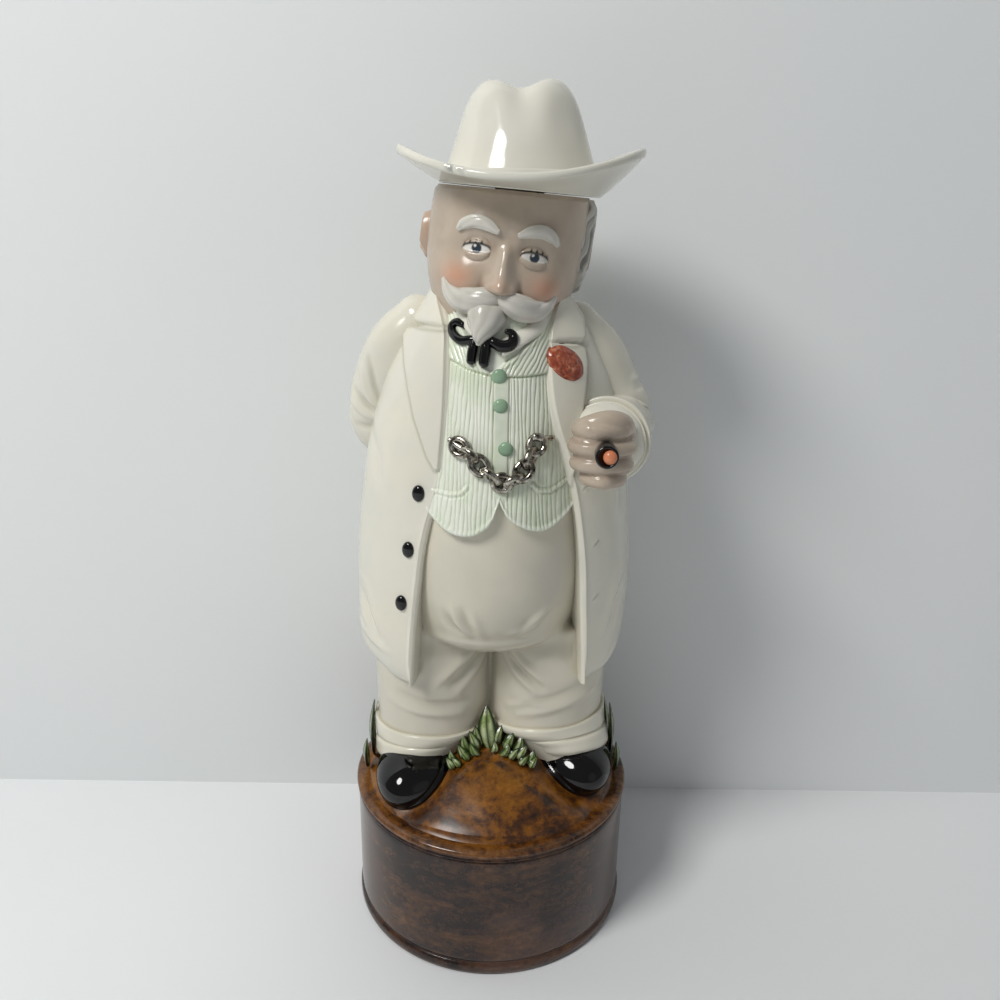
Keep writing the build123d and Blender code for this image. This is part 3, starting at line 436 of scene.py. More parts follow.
def drum_tone(recipe):
    """Dark brown with ochre and grey-purple patches drawn out sideways."""
    streak = recipe.noise(34.0, 8.0, 0.70, recipe.stretched((1.0, 1.0, 2.7)), 0.6)
    patch = recipe.noise(13.0, 4.0, 0.6, recipe.stretched((1.0, 1.0, 1.9)), 0.3)
    speck = recipe.noise(300.0, 5.0, 0.8, recipe.stretched((1.0, 1.0, 1.6)))
    tone = streak * 0.44 + patch * 0.30 + speck * 0.32
    colour = recipe.ramp(tone, [(0.42, "120d0d"), (0.48, "2c1c17"), (0.54, "48301f"), (0.60, "5e4029"),
                                (0.68, "7c5a3a")])
    haze = recipe.noise(15.0, 3.0, 0.6, recipe.stretched((1.0, 1.0, 2.0))).between(0.46, 0.68)
    return recipe.mix(haze * 0.55, colour, rgb("493a3c"))


def drum_paint():
    recipe = glaze("drum_brown_glaze", rough=0.17, ripple=0.3)
    recipe.set(Base_Color=drum_tone(recipe))
    return recipe.material


def ground_paint():
    """Amber glaze over a mound, darker in patches, brown at the ledge and like the drum below it."""
    recipe = glaze("ground_amber_glaze", rough=0.17, ripple=0.45)
    patch = recipe.noise(38.0, 6.0, 0.7, recipe.stretched((1.0, 1.0, 1.6)), 0.6)
    speck = recipe.noise(330.0, 6.0, 0.8)
    tone = patch * 0.66 + speck * 0.34
    amber = recipe.ramp(tone, [(0.37, "1d110b"), (0.44, "4a2a10"), (0.50, "74460f"), (0.57, "8e5a16"),
                               (0.65, "a56f24")])
    edge = recipe.ramp(patch * 0.5 + speck * 0.5, [(0.40, "2a1a12"), (0.48, "5f3d22"), (0.56, "7a5230"),
                                                   (0.64, "8f6a4c")])
    tone = recipe.mix(recipe.amount("ledge"), amber, edge)
    tone = recipe.mix(recipe.amount("wall"), tone, drum_tone(recipe))
    recipe.set(Roughness=(1 - recipe.amount("ledge")) * 0.15 + recipe.noise(420.0) * 0.06 + 0.15)
    dark = recipe.amount("crack") * recipe.noise(150.0, 4.0, 0.7).between(0.36, 0.60)
    recipe.set(Base_Color=recipe.mix(dark * 0.9, tone, rgb("1a100c")))
    return recipe.material


def skin_paint():
    """Greyish flesh glaze with an airbrushed blush, painted eyes and painted shade in the hollows of the face,
    ears and hands.
    """
    recipe = glaze("flesh_glaze", rough=0.2)
    tone = recipe.mix(recipe.noise(70.0, 3.0).between(0.35, 0.7), rgb("bfb09e"), rgb("b3a493"))
    # The first layer is painted shade; the others are the blush, lips and eyes.
    layers = (("hollow", 1.0, "94806f"), ("blush", 0.9, "d0987b"), ("lips", 1.0, "c58a7c"),
              ("eye_white", 1.0, "e4e0d8"), ("iris", 1.0, "2f3b46"), ("lash", 1.0, "1a1716"))
    for amount, share, colour in layers:
        tone = recipe.mix(recipe.amount(amount) * share, tone, rgb(colour))
    recipe.set(Base_Color=tone)
    return recipe.material


def hair_paint(name="white_hair_glaze", light="e3e0d6", dark="9c988e", share=0.8):
    recipe = glaze(name, rough=0.2)
    base = recipe.mix(recipe.noise(60.0, 3.0).between(0.35, 0.7), rgb(light), rgb("cfccc2"))
    # The dark colour is painted shade, mixed in where the grooves are marked as shaded.
    recipe.set(Base_Color=recipe.mix(recipe.amount("hollow") * share, base, rgb(dark)))
    return recipe.material


def leaf_paint():
    recipe = glaze("leaf_green_glaze", rough=0.16)
    cloud = recipe.noise(240.0, 3.0, 0.6).between(0.35, 0.65)
    blade = recipe.mix(cloud, rgb("bcc896"), rgb("7d9150"))
    deep = recipe.mix(cloud, rgb("1b2a12"), rgb("2f431c"))
    recipe.set(Base_Color=recipe.mix(recipe.amount("outline"), blade, deep))
    return recipe.material


def flower_paint():
    recipe = glaze("flower_rust_glaze", rough=0.2, ripple=0.4)
    cloud = recipe.noise(380.0, 5.0, 0.7, warp=0.5)
    tone = recipe.ramp(cloud, [(0.34, "7c3423"), (0.46, "994a33"), (0.56, "ad5d42"), (0.68, "cf9070")])
    # The dark colour is painted shade between the curls and round the flower's rim.
    recipe.set(Base_Color=recipe.mix(recipe.amount("hollow"), tone, rgb("4a1a12")))
    return recipe.material


def silver_paint():
    """Silver lustre fired over dark glaze."""
    recipe = Recipe("silver_lustre", Metallic=1.0)
    wear = recipe.noise(500.0, 4.0, 0.65)
    recipe.set(Base_Color=recipe.ramp(wear, [(0.34, "37322a"), (0.46, "8d877b"), (0.6, "c9c4b9")]))
    recipe.set(Roughness=wear.between(0.3, 0.7) * 0.2 + 0.10)
    recipe.uneven(recipe.noise(700.0, 3.0, 0.6), 0.5, 0.15)
    return recipe.material


def plain_paint(name, light, dark, rough, metal=0.0, scale=300.0, ripple=0.05):
    """A made surface with fine wear in its tone and finish."""
    recipe = Recipe(name, Metallic=metal)
    wear = recipe.noise(scale, 5.0, 0.65)
    recipe.set(Base_Color=recipe.mix(wear.between(0.3, 0.7), rgb(dark), rgb(light)))
    recipe.set(Roughness=(wear - 0.5) * 0.22 + rough)
    recipe.uneven(wear, 0.5, ripple)
    return recipe.material


waistcoat_glaze = waistcoat_paint()
drum_glaze = drum_paint()
ground_glaze = ground_paint()
black_glaze = glaze("black_glaze", ("060506", "0d0b0c"), rough=0.07, ripple=0.18).material
flesh_glaze = skin_paint()
hair_glaze = hair_paint()
# Its dark streaks are painted shade in the comb grooves.
grey_hair_glaze = hair_paint("grey_hair_groove_shade_glaze", "cfccc4", "6e6b66", 0.9)
leaf_glaze = leaf_paint()
flower_glaze = flower_paint()
silver = silver_paint()
button_glaze = glaze("button_green_glaze", ("93b093", "7f9d80"), rough=0.12).material
ember_glaze = glaze("ember_orange_glaze", ("d98a63", "c8714c"), rough=0.14).material


# The figure's own measures
def middle(z):
    return -2.0 + 0.016 * (z - 56.5)


COAT = [(112, 51.6, 36.3), (131, 52.1, 37.8), (149, 52.1, 39.0), (172, 50.6, 39.0), (194, 48.0, 37.8),
        (211, 44.4, 35.5), (227, 39.2, 32.0), (240, 32.0, 27.7), (249, 25.3, 23.4), (257, 20.8, 20.0)]
COAT_WIDE = [(z, w) for z, w, d in COAT]
COAT_DEEP = [(z, d) for z, w, d in COAT]
LEFT_EDGE = [(108, -31.3), (117, -30.8), (134, -29.6), (152, -27.6), (167, -25.6), (177, -23.4), (184, -21.4),
             (192, -19.4), (202, -18.4), (213, -17.6), (230, -17.0), (241, -17.4), (249, -19.6), (258, -21.0)]
RIGHT_EDGE = [(108, 35.0), (117, 34.6), (140, 33.0), (164, 31.2), (180, 29.0), (191, 26.6), (200, 24.0),
              (209, 20.8), (219, 18.2), (232, 17.0), (242, 17.4), (250, 19.6), (258, 22.4)]
BELLY = [(119, 28.1, 23.8), (130, 32.9, 32.8), (142, 35.5, 38.5), (159, 37.0, 41.0), (179, 36.3, 40.6),
         (200, 33.7, 38.1), (220, 29.6, 34.4), (237, 24.4, 30.3), (248, 20.0, 26.2), (257, 17.0, 23.0)]
BELLY_WIDE = [(z, w) for z, w, d in BELLY]
BELLY_DEEP = [(z, d) for z, w, d in BELLY]


def front_of(wide, deep, x, z, out):
    """Depth of an oval's front, out millimetres outside it."""
    share = (x - middle(z)) / (curve(wide, z) + out)
    return -(curve(deep, z) + out) * np.sqrt(np.maximum(1 - share ** 2, 0.02))


def belly_front(x, z, out=0.0):
    return front_of(BELLY_WIDE, BELLY_DEEP, x, z, out)


def coat_front(x, z, out=0.0):
    return front_of(COAT_WIDE, COAT_DEEP, x, z, out)


# Coat
LEFT_COLLAR = [(-19.0, 260), (-26.5, 253.4), (-31.2, 248.6), (-32.2, 243.6), (-31.0, 241.3), (-26.0, 241.0),
               (-10, 241.6), (-10, 262)]
LEFT_LAPEL = [(-10, 241.6), (-25.0, 241.0), (-33.0, 238.9), (-31.4, 228.0), (-27.6, 212.0), (-23.0, 199.8),
              (-20.4, 195.5), (-10, 196)]
RIGHT_COLLAR = [(17.5, 260), (20.6, 253.6), (25.2, 249.2), (28.8, 243.9), (29.4, 238.9), (28.4, 236.8),
                (26.2, 236.5), (8, 238.5), (8, 262)]
RIGHT_LAPEL = [(8, 238.5), (26.2, 236.5), (29.4, 234.6), (30.2, 230.0), (29.6, 222.0), (28.4, 213.0),
               (27.2, 200.0), (25.4, 190.0), (8, 189)]
# Each fold: its line, its width and its height.
COAT_FOLDS = [
    ([(-50.5, 137.5), (-48.6, 131), (-45.6, 125.0)], 2.0, 1.0),
    ([(-47.5, 146), (-44.5, 136), (-39.9, 127)], 2.2, 0.9),
    ([(-52.5, 127.5), (-46, 123.6), (-38, 122.0)], 1.8, 0.8),
    ([(-49.5, 141), (-47, 133), (-43.2, 126.5)], 1.4, -0.7),
    ([(45.5, 153), (43.6, 141), (41.0, 130)], 1.8, 0.9), ([(48.0, 149), (45.8, 140), (43.6, 132)], 1.4, -0.7),
    ([(49.4, 120), (45.8, 115), (42.0, 110)], 1.8, 0.7), ([(44.5, 196), (46.5, 186), (48.0, 176)], 2.2, -0.9),
    ([(40.6, 190), (42.6, 183), (43.6, 176)], 1.6, 0.8), ([(-46, 205), (-42.5, 196), (-41.5, 186)], 2.0, -0.8),
    ([(-43.5, 203), (-38.6, 212), (-34.0, 222)], 2.4, 0.5),
]
NOSE = 1.7  # radius of the rolled front edges
LIP = 0.07  # share of the grid across that each rolled edge takes up
TURN_END = 0.45  # share of a rolled edge where its turn ends and the facing starts
BUTTONHOLES = ((31.2, 189.0), (36.0, 167.4), (36.7, 146.4))


def coat_place(across, up):
    z = 110.6 + 146.4 * up
    wide = curve(COAT_WIDE, z)
    deep = curve(COAT_DEEP, z)
    start = np.arcsin(np.clip((curve(LEFT_EDGE, z) - middle(z)) / wide, -0.98, 0.98))
    end = np.arcsin(np.clip((curve(RIGHT_EDGE, z) - middle(z)) / wide, -0.98, 0.98)) - 2 * np.pi
    # Shares: the left lip, the cloth, the right lip. The cloth is finer towards both front edges.
    t = share(across, LIP, 1 - LIP)
    t = t - 0.115 * np.sin(2 * np.pi * t)
    angle = start + (end - start) * t
    x = middle(z) + wide * np.sin(angle)
    y = -deep * np.cos(angle)
    for side, k in ((1, share(across, LIP, 0)), (-1, share(across, 1 - LIP, 1))):
        turn = share(k, 0, TURN_END) * np.pi / 2
        back = share(k, TURN_END, 1)
        x = x + side * (NOSE * np.sin(turn) + 3.0 * back)
        y = y + NOSE * (1 - np.cos(turn)) + 15.0 * back ** 1.1
    # The hem dips at the front corners and rises a little at the sides.
    hem = (1 - up) ** 6
    z = z + hem * (1.2 - 2.2 * np.exp(-((np.abs(x) - 32) / 9) ** 2) * (y < 0) + 2.4 * smooth(40, 52, np.abs(x)))
    return x, y, z


def coat_relief(across, up, p):
    x, y, z = xyz(p)
    front = smooth(6, -6, y)
    raised = np.zeros(x.shape)
    for outline, height in ((LEFT_COLLAR, 1.75), (LEFT_LAPEL, 1.5), (RIGHT_COLLAR, 1.75), (RIGHT_LAPEL, 1.5)):
        d = depth_inside(outline, x, z)
        raised = np.maximum(raised, height * smooth(-0.45, 0.55, d) - 0.38 * bump(d, -0.8, 0.5))
    notch = fold([(-32.5, 240.4), (-26, 241.2), (-19, 241.6)], 0.6, -1.1, x, z)
    notch += fold([(30.5, 236.0), (25.4, 236.9), (19.5, 237.6)], 0.6, -1.1, x, z)
    back_collar = 1.2 * smooth(247.5, 248.7, z)
    total = front * (raised + notch) + (1 - front) * back_collar
    for points, width, height in COAT_FOLDS:
        total = total + front * fold(points, width, height, x, z)
    back = smooth(4, 12, y)
    total = total - back * (0.7 * bump(x, middle(z), 0.5) + 0.9 * smooth(150, 146, z) * bump(x, middle(z), 0.9))
    total = total + back * smooth(170, 120, z) * 1.3 * np.sin(x * 0.23 + 0.8)
    sides = np.exp(-((np.abs(x - middle(z)) - 46) / 5) ** 2) * smooth(190, 140, z)
    total = total + 0.5 * sides * np.sin(z * 0.11 + x * 0.2)
    for sx, sz in BUTTONHOLES:
        run = (x - sx) * 0.72 + (z - sz) * 0.69
        off = -(x - sx) * 0.69 + (z - sz) * 0.72
        slit = np.exp(-(run / 1.5) ** 4)
        total = total + front * slit * (0.45 * np.exp(-(off / 0.9) ** 2) - 0.75 * np.exp(-(off / 0.28) ** 2))
    inner = np.minimum(across, 1 - across)
    lip = smooth(LIP, LIP + 0.005, inner)
    edge = np.abs(inner - LIP)
    total = total + 0.55 * np.exp(-(edge / 0.014) ** 2) * smooth(196, 190, z) * lip
    total = total + 0.16 * wave(3, 9.0, x, y, z)
    curl = (1 - up) ** 40
    return total * (0.25 + 0.75 * lip) - 3.0 * curl * lip


def coat_paint(across, up, p):
    x, z = p[..., 0], p[..., 2]
    # Painted shade: a shadow line just outside the raised collar and lapel edges, and shade on the turned-in
    # facings of both front edges.
    hollow = np.zeros(x.shape)
    for outline in (LEFT_COLLAR, LEFT_LAPEL, RIGHT_COLLAR, RIGHT_LAPEL):
        hollow = np.maximum(hollow, bump(depth_inside(outline, x, z), -0.7, 0.55))
    inner = smooth(0.045, 0.0, across) + smooth(0.955, 1.0, across)
    return {"hollow": np.clip(hollow * (p[..., 1] < 0) + 0.8 * inner, 0, 1)}


coat = skin(coat_place, 300, 300, coat_relief, False, coat_paint)
finish_piece("coat", coat, "decanter", coat_glaze, ["figure_casting"])


# Trousers and belly
LEG_WIDE = {-1: [(54, 14.0), (66, 17.4), (79, 22.6), (92, 23.4), (111.6, 23.5), (134, 23.5)],
            1: [(54, 14.5), (69, 17.0), (82, 22.8), (95, 23.4), (111.6, 23.5), (134, 23.5)]}
LEG_DEEP = [(54, 22.0), (71.6, 22.4), (90, 23.0), (111.6, 23.7), (134, 24.2)]
LEG_SPREAD = {-1: [(54, 28.8), (66, 27.2), (79, 22.8), (92, 22.6), (111.6, 23.0), (134, 23.3)],
              1: [(54, 34.6), (69, 31.6), (82, 23.8), (95, 23.3), (111.6, 23.5), (134, 23.8)]}


def leg_place(side):
    def place(across, up):
        z = 57.0 + 73.0 * up
        angle = across * TAU
        x = middle(z) + side * curve(LEG_SPREAD[side], z) + (curve(LEG_WIDE[side], z) - 0.4) * np.cos(angle)
        return x, 1.0 + (curve(LEG_DEEP, z) - 0.4) * np.sin(angle), z
    return place


BOWL_END = 0.22  # share of the belly's grid that its rounded underside takes up


def belly_place(across, up):
    angle = across * TAU
    low, full, top = 118.5, 131, 256  # where the belly starts, is at its full width and ends
    turn = share(up, 0, BOWL_END) * np.pi / 2
    z = low + (full - low) * (1 - np.cos(turn)) + (top - full) * share(up, BOWL_END, 1)
    round_in = np.sin(turn)
    wide = curve(BELLY_WIDE, np.maximum(z, full)) * round_in
    deep = curve(BELLY_DEEP, np.maximum(z, full)) * round_in
    return middle(z) + wide * np.cos(angle), deep * np.sin(angle) * np.where(np.sin(angle) > 0, 0.82, 1.0), z


def capped(mesh):
    """Closes the open ends of a mesh."""
    shape = bmesh.new()
    shape.from_mesh(mesh)
    bmesh.ops.holes_fill(shape, edges=[e for e in shape.edges if e.is_boundary])
    bmesh.ops.recalc_face_normals(shape, faces=shape.faces)
    shape.to_mesh(mesh)
    shape.free()
    return mesh


TROUSER_FOLDS = [
    ([(-14.8, 147), (-12.8, 140), (-8.6, 134)], 1.5, 1.0),
    ([(-7.6, 145), (-5.4, 139), (-3.2, 133.6)], 1.3, 0.8),
    ([(10.0, 133.6), (14.0, 137.6), (17.6, 142.6)], 1.6, 1.0),
    ([(6.6, 134.4), (14.2, 140.6), (21.6, 145.6)], 1.3, 0.7),
    ([(-11.0, 146), (-9.4, 139.6), (-6.2, 134)], 1.2, -0.7), ([(12.4, 141.4), (9.0, 136.4)], 1.4, -0.6),
    ([(-18, 143), (-15.6, 138), (-12.4, 134.6)], 1.4, -0.6),
    ([(-3.6, 122), (-12.2, 115.0), (-21.6, 106.4)], 2.0, 1.3),
    ([(-1.6, 119), (-5.6, 111), (-12.6, 101.8)], 1.7, 1.0),
    ([(-3.0, 117.5), (-8.6, 112.4), (-15.6, 104.6)], 1.5, -1.0),
    ([(3.6, 122), (11.5, 114.9), (21.0, 107.4)], 2.0, 1.3),
    ([(3.6, 118), (9.4, 109.7), (16.4, 103.4)], 1.7, 1.0),
    ([(4.4, 118.6), (11.0, 111.6), (18.4, 105.4)], 1.4, -1.0),
    ([(-22, 119.6), (-27, 112), (-33, 105)], 2.2, 0.8), ([(24, 119.6), (30, 112), (36, 106)], 2.2, 0.8),
    ([(-40, 96.5), (-27, 94.0), (-12, 92.0)], 1.8, 0.9), ([(10, 92.0), (24, 96.5), (40, 102.0)], 1.8, 0.9),
    ([(-36, 101.5), (-24, 98.0), (-10, 96.8)], 1.5, -0.6), ([(8, 97.0), (20, 100.4), (34, 106.0)], 1.5, -0.6),
    ([(6, 94), (13, 98.4), (24, 98.6)], 1.6, 0.8),
]


def trouser_relief(x, y, z, nx, ny, nz):
    front = smooth(2, -6, y)
    total = np.zeros(x.shape)
    for points, width, height in TROUSER_FOLDS:
        total = total + front * fold(points, width, height, x, z)
    back = smooth(-2, 6, y) * smooth(126, 110, z) * smooth(84, 96, z) * smooth(116, 100, z)
    total = total + back * 0.9 * np.sin((z + np.abs(x) * 0.4) * 0.42)
    return total + 0.14 * wave(8, 8.0, x, y, z)


def trouser_paint(x, y, z):
    # Painted shade in the grooves of the folds, down the parting between the legs and under the belly.
    hollow = np.zeros(x.shape)
    for points, width, height in TROUSER_FOLDS:
        if height < 0:
            hollow = np.maximum(hollow, fold(points, width, 0.5, x, z))
    split = 0.7 * bump(x, 0.0, 1.6) * smooth(125, 118, z)
    under = 0.6 * smooth(128, 122, z) * smooth(116, 121, z) * (np.abs(x) < 30)
    return {"hollow": np.clip(hollow * (y < 0) + split + under, 0, 1)}


legs = [capped(skin(leg_place(side), 64, 60, None, True)) for side in (-1, 1)]
belly = capped(skin(belly_place, 96, 90, None, True))
trousers = carve(clay([*legs, belly], 0.95, 10), trouser_relief, trouser_paint)
finish_piece("trousers", trousers, "decanter", shaded_trouser_glaze, ["figure_casting"])


def cuff_place(side):
    foot = 62.8 if side < 0 else 67.4

    def place(across, up):
        angle = across * TAU
        # Up the cuff's section: inside bottom, roll, band, fold, upper band, top edge, inside.
        out = curve([(0, -3.0), (0.06, -1.2), (0.12, 0.7), (0.20, 1.7), (0.32, 1.6), (0.44, 1.3), (0.50, 0.6),
                     (0.56, 1.0), (0.66, 1.2), (0.82, 1.15), (0.90, 1.0), (0.95, 0.5), (1, -2.0)], up)
        rise = curve([(0, 1.6), (0.06, 0.3), (0.12, -0.1), (0.20, 1.0), (0.32, 4.0), (0.44, 7.6), (0.50, 9.0),
                      (0.56, 10.2), (0.66, 13.0), (0.82, 17.4), (0.90, 18.8), (0.95, 19.3), (1, 19.2)], up)
        z0 = foot + rise
        tilt = math.tan(math.radians(20.0))
        wide = curve(LEG_WIDE[side], z0) + out
        deep = curve(LEG_DEEP, z0) + out
        x = middle(z0) + side * curve(LEG_SPREAD[side], z0) + wide * np.cos(angle)
        y = 1.0 + deep * np.sin(angle)
        lean = 0.10 * side * (x - middle(z0) - side * 28)
        return x, y, z0 - (y - 1.0) * tilt * smooth(24, 2, rise) + lean * (side > 0)
    return place


def cuff_relief(across, up, p):
    x, y, z = xyz(p)
    return 0.25 * wave(5, 6.0, x, y, z) + 0.35 * bump(np.sin(across * 9.4 + 1.0), 1.0, 0.12)


def cuff_paint(across, up, p):
    # Painted shade in the cuff's fold groove, under its top edge and inside its bottom.
    return {"hollow": 0.85 * bump(up, 0.50, 0.030) + 0.7 * bump(up, 0.965, 0.02) + 0.5 * smooth(0.10, 0.0, up)}


for side, name in ((-1, "left_cuff"), (1, "right_cuff")):
    cuff = skin(cuff_place(side), 150, 110, cuff_relief, True, cuff_paint)
    finish_piece(name, cuff, "decanter", cuff_glaze, ["figure_casting"])


# Waistcoat, shirt and tie
RIB = 1.4  # width of one rib
VEST_TOP = 252.0
TUCK = 0.05  # share of the grid that turns in under the hem
PLACKET_X = 1.5  # middle of the buttoned edge
POCKETS = ([(-22.0, 188.6), (-15, 188.2), (-11.4, 189.2), (-9.4, 191.6)],
           [(25.5, 192.5), (19, 189.6), (14.5, 190.2), (12.4, 192.6)])
NECK_LEFT = [(-16, 252), (-9.6, 238.0), (-5.8, 231.6), (-2.4, 228.7)]
NECK_RIGHT = [(-2.4, 228.7), (1.0, 230.6), (7.4, 235.2), (13.5, 240.5), (18, 250)]


def vest_lower(x):
    """Height of the waistcoat's lower edge, which parts in a notch under the buttons."""
    notch = 1.3
    left = curve([(-26, 184.0), (-22.4, 180.2), (-16.6, 176.0), (-10.4, 174.8), (-4.9, 176.8), (-0.9, 181.2),
                  (notch, 187.4)], np.minimum(x, notch))
    right = curve([(notch, 187.4), (3.6, 183.0), (6.4, 180.2), (11.7, 177.2), (17.3, 176.6), (23.4, 179.6),
                   (30, 186)], np.maximum(x, notch))
    return np.where(x < notch, left, right)


def vest_place(across, up):
    x0 = -27.5 + 58.0 * across
    low = vest_lower(x0)
    z = low + (VEST_TOP - low) * share(up, TUCK, 1)
    narrow = 1 - 0.30 * smooth(190, VEST_TOP, z)
    x = middle(z) + (x0 - middle(z)) * narrow
    tuck = share(up, TUCK, 0)
    out = (2.1 + 0.9 * smooth(196, 182, z)) * (1 - tuck)
    return x, belly_front(x, z) - out, z + tuck * 0.5


def vest_zones(p):
    """Depth inside the shirt's opening, and height above the seam of the yoke."""
    x, z = p[..., 0], p[..., 2]
    opening = [(-20, 262), *NECK_LEFT, *NECK_RIGHT[1:], (20, 262)]
    shirt = depth_inside(opening, x, z)
    left_yoke = np.interp(x, [-18, -9.4, -3.6, 1], [232.8, 229.6, 228.4, 228.0])
    right_yoke = np.interp(x, [-1, 2.2, 7.4, 16], [228.2, 227.9, 227.7, 228.2])
    yoke = z - np.where(x < -1, left_yoke, right_yoke)
    return x, z, shirt, yoke


def rib_phase(x, z, yoke):
    wander = (0.36 * np.sin(z * 0.13 + x * 0.5) + 0.16 * np.sin(z * 0.30 + x * 1.3 + 1.0)
              + 0.05 * np.sin(z * 0.8 + x * 2.1))
    spread = 1 + 0.0030 * (z - 205)
    body = (x - middle(z)) * spread + wander * 0.8
    collar = np.where(x < 0, x * 0.93 + (z - 230) * 0.36, x * 0.90 - (z - 230) * 0.50) + wander * 0.6
    return np.where(smooth(-0.2, 0.4, yoke) > 0.5, collar, body)


def rib_shape(p):
    x, z, shirt, yoke = vest_zones(p)
    phase = rib_phase(x, z, yoke) / RIB
    saw = np.abs((phase % 1.0) - 0.5) * 2
    groove = smooth(0.66, 0.98, saw)
    below_yoke = smooth(0.3, -0.3, yoke) * smooth(187, 189, z)
    placket = smooth(2.6, 2.2, np.abs(x - PLACKET_X)) * below_yoke
    return x, z, shirt, yoke, groove, placket, phase


def vest_relief(across, up, p):
    x, z, shirt, yoke, groove, placket, phase = rib_shape(p)
    cloth = smooth(0.25, -0.25, shirt)
    below_yoke = smooth(0.3, -0.3, yoke) * smooth(187, 189, z)
    edge_of_placket = bump(np.abs(x - PLACKET_X), 2.5, 0.25) * below_yoke
    height = cloth * (1 - placket) * (-0.24 * groove + 0.10 * np.sin(phase * 6.28 * 0.5) ** 2)
    height += cloth * 0.35 * placket - 0.45 * edge_of_placket * cloth
    height += cloth * 0.55 * smooth(-0.15, 0.35, yoke) - 0.45 * bump(yoke, -0.25, 0.30) * cloth
    height += cloth * 0.35 * bump(shirt, -0.7, 0.5)
    height -= smooth(0.0, 0.6, shirt) * 0.75
    pocket = np.minimum(*(line_distance(line, x, z)[0] for line in POCKETS))
    height += 0.40 * np.exp(-(pocket / 0.55) ** 2) - 0.35 * bump(pocket, 1.0, 0.35)
    rim = z - vest_lower(x)
    height += 0.55 * bump(rim, 0.7, 0.9)
    pressed = 0.20 * wave(11, 5.0, x, z)
    return (height + pressed) * smooth(0.03, 0.07, up)


def vest_paint(across, up, p):
    x, z, shirt, yoke, groove, placket, _ = rib_shape(p)
    cloth = smooth(0.25, -0.25, shirt)
    thin = 0.55 + 0.45 * wave(21, 2.2, x * 2.0, z * 0.4)
    tint = groove * thin * (1 - placket) + 0.8 * bump(yoke, -0.25, 0.35) + 0.30 * placket
    patchy = 0.08 + 0.18 * wave(31, 9.0, x, z)
    # A painted highlight: in a soft patch left of the buttons, at the height of the lowest one, the green is
    # laid more thinly and its patches are left out, so the waistcoat looks lit there.
    bare = np.exp(-((x + 8) / 5.0) ** 2 - ((z - 203) / 13.0) ** 2)
    tint = (tint * (1 - 0.45 * bare) + np.clip(patchy, 0, 0.4) * (1 - bare)) * cloth
    return {"groove": np.clip(tint * smooth(0.9, 1.9, z - vest_lower(x)), 0, 1)}


waistcoat = skin(vest_place, 330, 220, vest_relief, False, vest_paint, front=(0, -1, 0))
finish_piece("waistcoat", waistcoat, "decanter", waistcoat_glaze, ["waistcoat"])


def place_on_vest(x, z, out):
    return float(x), float(belly_front(np.array(x), np.array(z))) - 2.1 - out, float(z)


# Shirt collar: two thin wings that stand round the neck, each between a low and a high edge
WING_EDGES = {-1: ([(-2.6, 234.4), (-9.5, 240.2), (-14.8, 247.6), (-19.6, 257.0)],
                   [(-2.6, 240.5), (-7.5, 245.0), (-11.8, 251.0), (-16.0, 258.6)]),
              1: ([(1.4, 233.6), (8.4, 237.4), (15.4, 241.6), (20.6, 248.6)],
                  [(1.4, 239.8), (7.6, 242.6), (13.4, 246.6), (17.6, 252.6)])}


def collar_wing(side):
    low, high = WING_EDGES[side]

    def place(across, up):
        lx, lz = path_points(low, across)
        hx, hz = path_points(high, across)
        t = smooth(0.0, 1.0, up)
        x = lx + (hx - lx) * t
        z = lz + (hz - lz) * t
        out = 3.4 * np.sin(np.pi * np.clip(up * 0.9 + 0.02, 0, 1)) ** 0.6 - 2.2 * t
        return x, belly_front(x, z) - 1.4 - out, z
    return place


for side, name in ((-1, "left_shirt_collar"), (1, "right_shirt_collar")):
    # Painted shade along the low edge of each wing, where it meets the waistcoat.
    wing = skin(collar_wing(side), 60, 26, None, False,
                lambda a, u, p: {"hollow": 0.5 * smooth(0.1, 0.0, u)}, front=(0, -1, 0))
    finish_piece(name, wing, "decanter", shirt_glaze, ["waistcoat"])


# String tie: two curled loops and two tails
def on_vest(points, out):
    return [place_on_vest(x, z, out) for x, z in points]


# Each part: its line, how far it stands out, its radii and its rows.
TIE = [
    ([(-6.4, 239.2), (-8.9, 238.9), (-12.0, 238.4), (-14.6, 239.9), (-15.2, 242.2), (-13.6, 243.7),
      (-11.6, 243.2)], 1.3, [1.2, 1.5, 1.6, 1.6, 1.5, 1.4, 1.1], 56),
    ([(-3.0, 239.8), (-1.4, 238.6), (1.4, 237.4), (4.2, 238.0), (5.1, 240.1), (4.2, 241.6), (2.8, 242.0)],
     1.4, [1.1, 1.6, 2.0, 2.0, 1.6, 1.3, 0.9], 56),
    ([(-7.0, 240.2), (-7.8, 237.6), (-8.3, 235.0), (-8.6, 232.4)], 1.3, [1.3, 1.5, 1.7, 1.6], 24),
    ([(-3.4, 240.4), (-3.7, 238.0), (-4.0, 235.2), (-4.4, 232.0)], 1.3, [1.3, 1.6, 1.8, 1.7], 24),
]
tie_parts = [tube(on_vest(points, out), radii, 24, rows) for points, out, radii, rows in TIE]
finish_piece("string_tie_bow", joined(tie_parts), "decanter", black_glaze, ["string_tie"])

